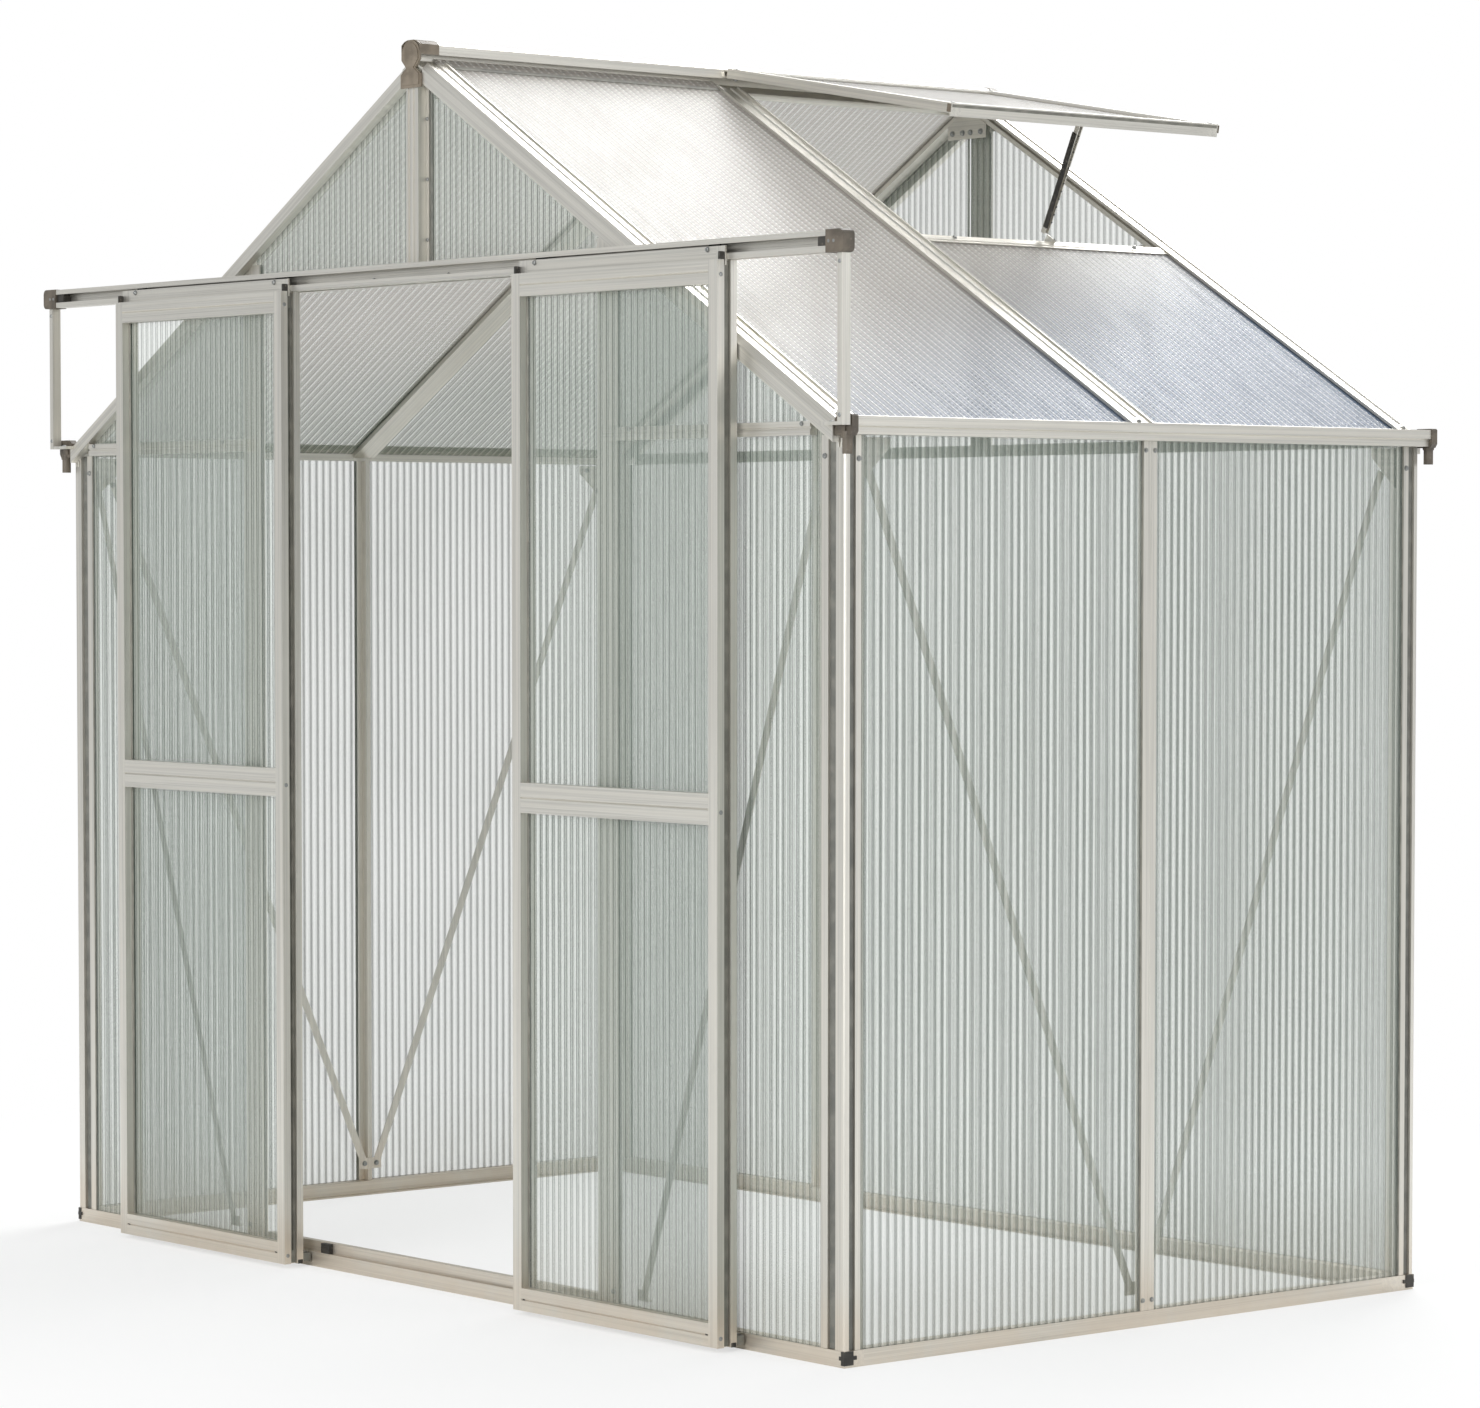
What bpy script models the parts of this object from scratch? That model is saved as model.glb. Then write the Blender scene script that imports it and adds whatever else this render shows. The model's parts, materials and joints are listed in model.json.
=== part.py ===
# Small glazed greenhouse with two sliding doors and one roof vent.
# Metres, +Z up. +X is to the right of someone who faces the doors, -Y is the front.
# The origin is on the ground, in the middle of the outer box. The doors stand
# further out in front than anything does behind, so the footprint sits a little back.
import math

import bpy
import bmesh
from mathutils import Matrix, Vector

# Driving dimensions: the house
WIDTH = 2.05                    # outer faces of the corner posts, left to right
DEPTH = 1.20                    # outer faces of the corner posts, front to back
PITCH = math.radians(30.4)      # roof slope
EAVE_UNDERSIDE = 1.340          # underside of the eave beams
EAVE_RISE = 0.0016              # rafters' reference line above it, over the post faces
BASE_HEIGHT = 0.024
MIDDLE_SHIFT = 0.008            # the middle mullions and rafters stand a little back
GAP = 0.0003                    # between pieces that touch

# Glazing
PANE = 0.004                    # sheet thickness
PANE_INSET = 0.0028             # outer face of a wall pane behind the post faces
SLOT = PANE + 2 * GAP           # width of a glazing slot
SLOT_FROM = PANE_INSET - GAP    # where a wall slot starts behind the post faces
ROOF_PANE_RISE = 0.006          # underside of a roof pane above the rafter line
WALL = 0.0025                   # wall of the extrusions
BAR_SEAT = 0.0015               # how deep a bar outside the sheets is let into the frame
JOIN = 0.002                    # how deep a welded or riveted form is let into its carrier
FLANGE = 0.0015                 # flanges that hold a sheet
BITE = 0.002                    # how far a slot's floor lies behind its web
CHAMFER = 0.003                 # broken corner of a larger extrusion

# Corner posts
POST_GABLE_LEG = 0.053
POST_SIDE_LEG = 0.042
POST_BOSS_GABLE = 0.020
POST_BOSS_SIDE = 0.009
POST_FLANGE_GABLE = 0.015
POST_FLANGE_SIDE = 0.0105
POST_GROOVE_DEPTH = 0.006
POST_SIDE_GROOVE = 0.012

# Base
BASE_WIDTH = 0.028
BASE_FLANGE = 0.012
BASE_SLOT_FLOOR = 0.018
BASE_WALL = 0.002
BASE_SLOT_WALL = 0.003
THRESHOLD_RISE = 0.017
THRESHOLD_DEPTH = 0.012
THRESHOLD_SET_BACK = 0.001

# Mullions, studs, jambs and king posts
MULLION_WIDTH = 0.028
MULLION_STEM = 0.013
WEB = 0.004
LINE_HALF = 0.003               # drawn line down the middle of a face
LINE_DEPTH = 0.001
BACK_BAY = 0.605                # corner post face to the middle of a back stud
FRONT_BAY = 0.525               # corner post face to the outer edge of a jamb
JAMB_WIDTH = 0.048
JAMB_SLOT = 0.012
KING_WIDTH = 0.047
KING_DEPTH = 0.026
KING_SLOT = 0.010
KING_BOSS = 0.031               # ribbed middle of its face
KING_RIB = 0.0045
KING_GROOVE = 0.0015
EAVE_BAR_HEIGHT = 0.020
EAVE_BAR_LINE = 0.001
EAVE_BAR_OUT = 0.012

# Rafters
GABLE_OUT = 0.0155              # rafter and king post faces in front of the post faces
RAFTER_WIDTH = 0.047
RAFTER_FASCIA = 0.016           # fascia below the rafter line
RAFTER_LIP = 0.004
RAFTER_BELOW = 0.002
RAFTER_TOP = 0.012
RAFTER_RIB = 0.003
RAFTER_SLOT = 0.010
RAFTER_RIB_WIDTH = 0.003
RAFTER_BEVEL = 0.010            # gable face up to the broad top
RAFTER_TOP_GROOVE = 0.002       # depth of the channel in the top
RAFTER_GROOVE_SIDE = 0.002      # run of its sloping side
RAFTER_GROOVE_FROM = 0.016
RAFTER_GROOVE_TO = 0.030
RAFTER_MIDDLE_GROOVE = 0.005    # half its floor on a middle rafter

# Ridge
RIDGE_RISE = 0.035              # top above the rafters' reference line
RIDGE_HOOD = 0.022
RIDGE_WIDTH = 0.047
RIDGE_STEM = 0.008
RIDGE_WING = 0.026
RIDGE_WING_THICK = 0.003
RIDGE_FLAT = 0.008              # half the flat on top
RIDGE_SHOULDER = 0.016
RIDGE_SHOULDER_DROP = 0.002
RIDGE_EDGE_DROP = 0.007
RIDGE_LIP = 0.003
RIDGE_LIP_RISE = 0.006
RIDGE_STEM_RISE = 0.010
HINGE_WALL = 0.0029
HINGE_MOUTH = 0.020
HINGE_MOUTH_DROP = 0.0155
HINGE_MOUTH_FLOOR = 0.0012
HINGE_MOUTH_ROOF = 0.0018
RIDGE_CAP_HEIGHT = 0.075
RIDGE_CAP_FRONT = 0.0045
RIDGE_CAP_RELIEF = 0.0014       # raised panels on its face
RIDGE_CAP_PANEL = 0.0045        # margin round a raised panel
RIDGE_CAP_HEAD = 0.0247         # radius of the rounded head
RIDGE_CAP_NECK = 0.012          # half width of the neck
RIDGE_CAP_HEAD_DROP = 0.031
RIDGE_CAP_NECK_DROP = 0.044
RIDGE_CAP_EAVES_DROP = 0.054
RIDGE_CAP_FOOT = 0.054
RIDGE_SLEEVE_FRONT = 0.035      # sleeve over the front of the ridge
RIDGE_SLEEVE_BACK = 0.010       # shorter, where the vent's bar ends
RIDGE_SLEEVE_WALL = 0.0009

# Gutters
GUTTER_OUT = 0.027
GUTTER_LIP_HEIGHT = 0.026       # lip top above the eave underside
GUTTER_FLOOR = 0.012
GUTTER_FASCIA = 0.022
GUTTER_INNER = 0.0096
GUTTER_LIP = 0.003
GUTTER_WALL = 0.0015
GUTTER_STEP = 0.002
GUTTER_FALL = 0.0005
GUTTER_SLOT_ROOF = 0.003
GUTTER_CAP_THICK = 0.012
GUTTER_CAP_MARGIN = 0.002
NOZZLE_RADIUS = 0.0075
NOZZLE_LENGTH = 0.026

# Door rail
RAIL_RISE = 0.257               # its underside above the eave's underside
RAIL_HEIGHT = 0.031
RAIL_FRONT_OUT = 0.037
RAIL_WALL = 0.002
RAIL_LIP_BOTTOM = 0.009
RAIL_LIP_TOP = 0.008
RAIL_RIBS = 3
RAIL_RIB_WIDTH = 0.0015
RAIL_RIB_DEPTH = 0.0012
RAIL_CAP_LENGTH = 0.038
RAIL_CAP_ROUND = 0.008
RAIL_CAP_MARGIN = 0.001
STRUT_WIDTH = 0.010
STRUT_FROM_END = 0.014
STRUT_FOOT = 0.005
STRUT_FOOT_LENGTH = 0.045
STRUT_SEAT = 0.0125             # its foot above the eave's underside

# Doors
DOOR_SHY = 0.005                # each door is this much narrower than jamb to centre
DOOR_OPEN = 0.310               # how far each door stands open
DOOR_FRONT_OUT = 0.055
DOOR_BOTTOM = 0.007
STILE_FACE = 0.021
STILE_DEPTH = 0.037
STILE_BACK_WIDTH = 0.012
STILE_GROOVE_FROM = 0.013
STILE_GROOVE_TO = 0.025
STILE_GROOVE_DEPTH = 0.006
DOOR_RAIL_DEPTH = 0.024
DOOR_RAIL_HEIGHT = 0.035
DOOR_RAIL_LINE = 0.0015
MID_RAIL_BOTTOM = 0.774
MID_RAIL_HEIGHT = 0.046
DOOR_SLOT_FROM = 0.015
DOOR_SLOT_DEPTH = 0.010
HANGER_RISE = 0.020             # its top above the rail's underside
HANGER_SEAT = 0.008
HANGER_THICK = 0.0025
HANGER_GAP = 0.0008
ROLLER_INSET = 0.040
ROLLER_THICK = 0.008
ROLLER_AXLE = 0.003

# Vent
VENT_OPEN = math.radians(20.6)
VENT_AXIS_X = 0.016
VENT_AXIS_RISE = 0.0285         # hinge axis above the rafter line, square to the slope
VENT_START = 0.014
VENT_LENGTH = 0.573
VENT_BAR_WIDTH = 0.022
VENT_BAR_HEIGHT = 0.016
VENT_BAR_SLOT = 0.010
VENT_BEAD = 0.003
VENT_NECK = 0.0016
VENT_CHAMFER = 0.003
VENT_HOOK_SHY = 0.010           # the hook ends this far before the bars' ends
VENT_SIDE_LAP = 0.004           # how far the frame laps past the middle of a rafter's slot
VENT_DRIP = 0.005
VENT_DRIP_WIDTH = 0.003
SILL_LAP = 0.028                # the sill starts this far before the vent's outer edge
SILL_WIDTH = 0.014
SILL_TOP = 0.013
SILL_SHELF = 0.008
SILL_LEDGE = 0.006
SILL_BITE = 0.002
SILL_LIP = 0.0015
BRACKET_FROM = -0.014           # the bracket's ends, along the slope from the sill
BRACKET_TO = 0.007
BRACKET_NOTCH = 0.0
BRACKET_RISE = 0.006            # above the sill's top
BRACKET_SLANT = 0.006

# Vent stay
STAY_LENGTH = 0.190
STAY_WIDTH = 0.009
STAY_DEPTH = 0.009
STAY_WALL = 0.0015
STAY_HOLE = 0.0022
STAY_HOLES = 9
STAY_PIVOT_UP = 0.029           # pivot before the vent's outer edge, along the vent
STAY_HEAD = 0.005               # how far the stay runs past its pivot
STAY_RISE = 0.018
STAY_Y = 0.313                  # behind the middle of the depth
STAY_LEAN = math.radians(244)
STAY_HOLE_MARGIN = 0.018
CLIP_WALL = 0.002
EAR_HALF = 0.006
EAR_BELOW = 0.004
EAR_TOP_RUN = 0.014
EAR_SINK = 0.004

# Braces
BRACE_WIDTH = 0.014
BRACE_THICK = 0.0018
BRACE_FOOT_RISE = 0.030         # lower end above the base
BRACE_HEAD_DROP = 0.040         # upper end below the eave
BRACE_CORNER = 0.060            # upper end from the post face
BRACE_SPREAD = 0.012
GUSSET_HALF = 0.024
GUSSET_BELOW = 0.008
GUSSET_ABOVE = 0.012

# Derived places
HALF_W = WIDTH / 2
RAFTER_LINE_TOP = EAVE_UNDERSIDE + EAVE_RISE + HALF_W * math.tan(PITCH)
RIDGE_TOP = RAFTER_LINE_TOP + RIDGE_RISE
BACK_STUD_X = HALF_W - BACK_BAY
JAMB_OUTER = HALF_W - FRONT_BAY
DOOR_WIDTH = JAMB_OUTER - DOOR_SHY
EAVE_BAR_BOTTOM = EAVE_UNDERSIDE
RAIL_BOTTOM = EAVE_UNDERSIDE + RAIL_RISE
HANGER_TOP = RAIL_BOTTOM + HANGER_RISE
SILL_FROM = VENT_LENGTH - SILL_LAP
STRUT_BOTTOM = EAVE_UNDERSIDE + STRUT_SEAT
RIDGE_CAP_OUT = GABLE_OUT + RIDGE_CAP_FRONT
FOOT_SHIFT = (DOOR_FRONT_OUT - RIDGE_CAP_OUT) / 2
FRONT = FOOT_SHIFT - DEPTH / 2
BACK = FOOT_SHIFT + DEPTH / 2
MIDDLE = FOOT_SHIFT + MIDDLE_SHIFT
SLOPE_OUT = Vector((math.cos(PITCH), 0, -math.sin(PITCH)))
SLOPE_UP = Vector((math.sin(PITCH), 0, math.cos(PITCH)))
X_AXIS = Vector((1, 0, 0))
Y_AXIS = Vector((0, 1, 0))
Z_AXIS = Vector((0, 0, 1))
POST_TOP = EAVE_UNDERSIDE - GAP
FRAME_BOTTOM = BASE_HEIGHT + GAP
PANE_BOTTOM = BASE_SLOT_FLOOR + GAP
RAFTER_START = RIDGE_WING + GAP
RAFTER_END = HALF_W - GUTTER_INNER - GAP
GABLE_PANE_RISE = RAFTER_LIP - GAP
# The eave bars end where the rafters' fascias come down to them, or at the posts
EAVE_BAR_UNDER_FASCIA = (RAFTER_LINE_TOP - RAFTER_FASCIA / math.cos(PITCH) - EAVE_BAR_BOTTOM
                         - EAVE_BAR_HEIGHT - GAP) / math.tan(PITCH)
EAVE_BAR_END = min(HALF_W - POST_GABLE_LEG - GAP, EAVE_BAR_UNDER_FASCIA)


def slope_z(x, rise=0.0):
    """Height of the roof's reference line at x, moved by rise square to the slope."""
    return RAFTER_LINE_TOP - abs(x) * math.tan(PITCH) + rise / math.cos(PITCH)


def new_collection(name):
    collection = bpy.data.collections.new(name)
    bpy.context.scene.collection.children.link(collection)
    return collection


def new_material(name, colour, roughness, metallic, alpha=1.0):
    material = bpy.data.materials.new(name)
    material.use_nodes = True
    shader = material.node_tree.nodes["Principled BSDF"]
    shader.inputs["Base Color"].default_value = (*colour, 1.0)
    shader.inputs["Roughness"].default_value = roughness
    shader.inputs["Metallic"].default_value = metallic
    shader.inputs["Alpha"].default_value = alpha
    return material


def aluminium(name):
    return new_material(name, (0.58, 0.56, 0.50), 0.42, 0.9)


def plastic(name):
    return new_material(name, (0.10, 0.085, 0.07), 0.55, 0.0)


def glazing(name):
    return new_material(name, (0.78, 0.84, 0.80), 0.12, 0.0, 0.35)


def signed_area(outline):
    total = 0.0
    for (x0, y0), (x1, y1) in zip(outline, outline[1:] + outline[:1]):
        total += x0 * y1 - x1 * y0
    return total / 2


def outline_mesh(name, outline):
    """A flat outline, filled and one unit thick, as a mesh with its caps welded."""
    curve = bpy.data.curves.new(name, "CURVE")
    curve.dimensions = "2D"
    curve.fill_mode = "BOTH"
    curve.extrude = 0.5
    spline = curve.splines.new("POLY")
    points = outline if signed_area(outline) > 0 else outline[::-1]
    spline.points.add(len(points) - 1)
    for point, (x, y) in zip(spline.points, points):
        point.co = (x, y, 0, 1)
    spline.use_cyclic_u = True
    guide = bpy.data.objects.new(name, curve)
    bpy.context.scene.collection.objects.link(guide)
    bpy.context.view_layer.update()
    evaluated = guide.evaluated_get(bpy.context.evaluated_depsgraph_get())
    mesh = bpy.data.meshes.new_from_object(evaluated)
    bpy.data.objects.remove(guide)
    work = bmesh.new()
    work.from_mesh(mesh)
    bmesh.ops.remove_doubles(work, verts=work.verts, dist=0.00001)
    # Each cap becomes one face, which cuts and joins cleanly
    bmesh.ops.dissolve_limit(work, angle_limit=0.001, verts=work.verts, edges=work.edges)
    work.to_mesh(mesh)
    work.free()
    return mesh


def place(name, mesh, material, collection, origin=None):
    """An object for a mesh in world places, with its origin at the point given."""
    if origin is not None:
        mesh.transform(Matrix.Translation(-Vector(origin)))
    mesh.materials.clear()
    mesh.materials.append(material)
    piece = bpy.data.objects.new(name, mesh)
    if origin is not None:
        piece.location = origin
    collection.objects.link(piece)
    return piece


def extrusion(name, outline, start, run, across, up):
    """A mesh of an outline that runs from start along run."""
    mesh = outline_mesh(name, outline)
    start = Vector(start)
    columns = (Vector(across), Vector(up), Vector(run), start + Vector(run) / 2)
    matrix = Matrix([[column[row] for column in columns] for row in range(3)] + [[0, 0, 0, 1]])
    mesh.transform(matrix)
    if matrix.to_3x3().determinant() < 0:
        mesh.flip_normals()
    return mesh


def upright(name, outline, bottom, top):
    """An extrusion along +Z, with its outline in world X and Y."""
    return extrusion(name, outline, (0, 0, bottom), (0, 0, top - bottom), X_AXIS, Y_AXIS)


def crossbar(name, outline, left, right):
    """An extrusion along +X, with its outline in world Y and Z."""
    return extrusion(name, outline, (left, 0, 0), (right - left, 0, 0), Y_AXIS, Z_AXIS)


def purlin(name, outline, front, back):
    """An extrusion along Y, with its outline in world X and Z."""
    return extrusion(name, outline, (0, front, 0), (0, back - front, 0), X_AXIS, Z_AXIS)


def mirrored(outline, x_sign=1, y_sign=1, x_at=0.0, y_at=0.0):
    return [(x_at + x_sign * x, y_at + y_sign * y) for x, y in outline]


def mitred_ring(name, section, width, depth):
    """A closed frame: each point of the section runs round as a mitred rectangle.

    A section point is (inset from the outer edge, height). The ring is centred on 0, 0.
    """
    work = bmesh.new()
    loops = []
    for inset, height in section:
        x = width / 2 - inset
        y = depth / 2 - inset
        corners = ((x, y), (-x, y), (-x, -y), (x, -y))
        loops.append([work.verts.new((cx, cy, height)) for cx, cy in corners])
    for first, second in zip(loops, loops[1:] + loops[:1]):
        for i in range(4):
            j = (i + 1) % 4
            work.faces.new((first[i], first[j], second[j], second[i]))
    bmesh.ops.recalc_face_normals(work, faces=work.faces)
    mesh = bpy.data.meshes.new(name)
    work.to_mesh(mesh)
    work.free()
    return mesh


def box(name, low, high):
    low = Vector(low)
    high = Vector(high)
    work = bmesh.new()
    matrix = Matrix.Translation((low + high) / 2) @ Matrix.Diagonal((*(high - low), 1))
    bmesh.ops.create_cube(work, size=1, matrix=matrix)
    mesh = bpy.data.meshes.new(name)
    work.to_mesh(mesh)
    work.free()
    return mesh


def rod(name, centre, axis, radius, length, sides=16):
    """A round bar with its middle at centre."""
    work = bmesh.new()
    turn = Vector(axis).to_track_quat("Z", "Y").to_matrix().to_4x4()
    matrix = Matrix.Translation(centre) @ turn
    bmesh.ops.create_cone(work, cap_ends=True, segments=sides, radius1=radius,
                          radius2=radius, depth=length, matrix=matrix)
    mesh = bpy.data.meshes.new(name)
    work.to_mesh(mesh)
    work.free()
    return mesh


def combine(piece, mesh, operation, cutters):
    """Join a mesh to a piece, or cut it out, with a Boolean modifier."""
    index = len(piece.modifiers)
    operand = bpy.data.objects.new(piece.name + "_form_" + str(index), mesh)
    operand.hide_render = True
    operand.display_type = "WIRE"
    operand.location = (0, 0, 0)
    cutters.objects.link(operand)
    modifier = piece.modifiers.new(operation.title() + str(index), "BOOLEAN")
    modifier.operation = operation
    modifier.solver = "EXACT"
    modifier.use_self = operation == "UNION"
    modifier.object = operand
    return piece


def smooth(piece, angle=35):
    piece.data.shade_smooth()
    piece.data.set_sharp_from_angle(angle=math.radians(angle))


# Frame: base, posts, mullions
def post_outline():
    """Corner post section: first value along the gable, second along the side wall."""
    inner = SLOT_FROM + SLOT + FLANGE
    front = SLOT_FROM - FLANGE
    web = POST_GABLE_LEG - POST_FLANGE_GABLE
    side_web = POST_BOSS_SIDE + POST_SIDE_GROOVE
    return [
        (CHAMFER, 0), (POST_BOSS_GABLE, 0), (POST_BOSS_GABLE, POST_GROOVE_DEPTH),
        (web, POST_GROOVE_DEPTH), (web, front), (POST_GABLE_LEG, front),
        (POST_GABLE_LEG, SLOT_FROM), (web + BITE, SLOT_FROM),
        (web + BITE, SLOT_FROM + SLOT), (POST_GABLE_LEG, SLOT_FROM + SLOT),
        (POST_GABLE_LEG, inner), (inner, inner), (inner, POST_SIDE_LEG),
        (SLOT_FROM + SLOT, POST_SIDE_LEG), (SLOT_FROM + SLOT, side_web + BITE),
        (SLOT_FROM, side_web + BITE), (SLOT_FROM, side_web + POST_FLANGE_SIDE),
        (front, side_web + POST_FLANGE_SIDE), (front, side_web),
        (POST_GROOVE_DEPTH, side_web), (POST_GROOVE_DEPTH, POST_BOSS_SIDE),
        (0, POST_BOSS_SIDE), (0, CHAMFER), (CHAMFER * 0.3, CHAMFER * 0.3),
    ]


GABLE_PANE_EDGE = HALF_W - (POST_GABLE_LEG - POST_FLANGE_GABLE + BITE) - GAP
SIDE_PANE_EDGE = POST_BOSS_SIDE + POST_SIDE_GROOVE + BITE + GAP


def make_base(parts, cutters):
    floor = BASE_SLOT_FLOOR - BASE_SLOT_WALL
    section = [
        (0, 0), (0, BASE_HEIGHT), (SLOT_FROM, BASE_HEIGHT), (SLOT_FROM, BASE_SLOT_FLOOR),
        (SLOT_FROM + SLOT, BASE_SLOT_FLOOR), (SLOT_FROM + SLOT, BASE_HEIGHT),
        (BASE_WIDTH, BASE_HEIGHT), (BASE_WIDTH, BASE_WALL), (BASE_WIDTH + BASE_FLANGE, BASE_WALL),
        (BASE_WIDTH + BASE_FLANGE, 0), (BASE_WIDTH - BASE_WALL, 0), (BASE_WIDTH - BASE_WALL, floor),
        (BASE_WALL, floor), (BASE_WALL, 0),
    ]
    mesh = mitred_ring("base_frame", section, WIDTH, DEPTH)
    mesh.transform(Matrix.Translation((0, FOOT_SHIFT, 0)))
    base = place("base_frame", mesh, aluminium("base_frame"), parts)
    half = JAMB_OUTER - JAMB_WIDTH - GAP
    low = SLOT_FROM + SLOT + THRESHOLD_SET_BACK
    strip = box("threshold", (-half, FRONT + low, BASE_HEIGHT - JOIN),
                (half, FRONT + low + THRESHOLD_DEPTH, BASE_HEIGHT + THRESHOLD_RISE))
    combine(base, strip, "UNION", cutters)


def make_posts(parts):
    for front_back, y_at, y_sign in (("front", FRONT, 1), ("back", BACK, -1)):
        for side, x_sign in (("left", -1), ("right", 1)):
            name = "corner_post_" + front_back + "_" + side
            outline = mirrored(post_outline(), -x_sign, y_sign, x_sign * HALF_W, y_at)
            mesh = upright(name, outline, FRAME_BOTTOM, POST_TOP)
            place(name, mesh, aluminium(name), parts)


def mullion_outline(stem):
    """Glazing bar section: first value inwards from the outer face, second across."""
    half = MULLION_WIDTH / 2
    back = SLOT_FROM + SLOT
    deep = back + WALL + stem
    return [
        (0, -half), (0, -LINE_HALF), (LINE_DEPTH, LINE_DEPTH - LINE_HALF),
        (LINE_DEPTH, LINE_HALF - LINE_DEPTH), (0, LINE_HALF), (0, half),
        (SLOT_FROM, half), (SLOT_FROM, WEB / 2), (back, WEB / 2), (back, half),
        (back + WALL, half), (back + WALL, WEB), (deep, WEB), (deep, -WEB),
        (back + WALL, -WEB), (back + WALL, -half), (back, -half), (back, -WEB / 2),
        (SLOT_FROM, -WEB / 2), (SLOT_FROM, -half),
    ]


def make_mullions(parts):
    for side, x_sign in (("left", -1), ("right", 1)):
        name = "side_mullion_" + side
        outline = mirrored(mullion_outline(MULLION_STEM), -x_sign, 1, x_sign * HALF_W, MIDDLE)
        place(name, upright(name, outline, FRAME_BOTTOM, POST_TOP), aluminium(name), parts)


def make_jambs(parts, cutters):
    back = SLOT_FROM + SLOT
    section = [
        (0, 0), (JAMB_WIDTH, 0), (JAMB_WIDTH, SLOT_FROM), (JAMB_WIDTH - JAMB_SLOT, SLOT_FROM),
        (JAMB_WIDTH - JAMB_SLOT, back), (JAMB_WIDTH, back), (JAMB_WIDTH, back + WALL),
        (0, back + WALL), (0, back), (JAMB_SLOT, back), (JAMB_SLOT, SLOT_FROM), (0, SLOT_FROM),
    ]
    top = slope_z(JAMB_OUTER, -RAFTER_BELOW) - GAP
    face = FRONT - EAVE_BAR_OUT
    seat = FRONT + BAR_SEAT
    low = EAVE_BAR_BOTTOM
    mid = low + EAVE_BAR_HEIGHT / 2
    line = EAVE_BAR_LINE
    bar = [
        (face, low), (seat, low), (seat, low + EAVE_BAR_HEIGHT), (face, low + EAVE_BAR_HEIGHT),
        (face, mid + 2 * line), (face + 2 * line, mid + line), (face + 2 * line, mid - line),
        (face, mid - 2 * line),
    ]
    near = JAMB_OUTER - JAMB_WIDTH / 2
    far = EAVE_BAR_END
    for side, x_sign in (("left", -1), ("right", 1)):
        name = "door_jamb_" + side
        outline = mirrored(section, -x_sign, 1, x_sign * JAMB_OUTER, FRONT)
        jamb = place(name, upright(name, outline, FRAME_BOTTOM, top), aluminium(name), parts)
        ends = sorted((x_sign * near, x_sign * far))
        combine(jamb, crossbar("eave_bar", bar, *ends), "UNION", cutters)


def king_face(flange):
    """Front of a king post section, left to right: a boss with three ribs, then flanges."""
    half = KING_WIDTH / 2
    boss = KING_BOSS / 2
    mid = KING_RIB / 2
    side = boss - KING_RIB
    right = [
        (mid, 0), (mid, KING_GROOVE), (side, KING_GROOVE), (side, 0), (boss, 0),
        (boss, flange), (half, flange),
    ]
    return [(-x, y) for x, y in reversed(right)] + right


def make_front_king(parts, cutters):
    half = KING_WIDTH / 2
    slot = GABLE_OUT + SLOT_FROM
    section = king_face(slot - 2 * FLANGE) + [
        (half, slot), (half - KING_SLOT, slot), (half - KING_SLOT, slot + SLOT),
        (half, slot + SLOT), (half, KING_DEPTH), (-half, KING_DEPTH), (-half, slot + SLOT),
        (KING_SLOT - half, slot + SLOT), (KING_SLOT - half, slot), (-half, slot),
    ]
    outline = mirrored(section, 1, 1, 0, FRONT - GABLE_OUT)
    top = slope_z(RIDGE_WING, ROOF_PANE_RISE - GAP - RIDGE_WING_THICK) - 2 * GAP
    king = place("king_post_front", upright("king_post_front", outline, RAIL_BOTTOM + JOIN, top),
                 aluminium("king_post_front"), parts)
    back = SLOT_FROM + SLOT
    header = [
        (0, RAIL_BOTTOM), (back + WALL, RAIL_BOTTOM), (back + WALL, RAIL_BOTTOM + RAIL_HEIGHT),
        (back, RAIL_BOTTOM + RAIL_HEIGHT), (back, RAIL_BOTTOM + RAIL_LIP_BOTTOM),
        (SLOT_FROM, RAIL_BOTTOM + RAIL_LIP_BOTTOM), (SLOT_FROM, RAIL_BOTTOM + RAIL_HEIGHT),
        (0, RAIL_BOTTOM + RAIL_HEIGHT),
    ]
    half_run = JAMB_OUTER - JAMB_WIDTH - GAP
    bar = crossbar("header", mirrored(header, 1, 1, FRONT, 0), -half_run, half_run)
    combine(king, bar, "UNION", cutters)


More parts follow.
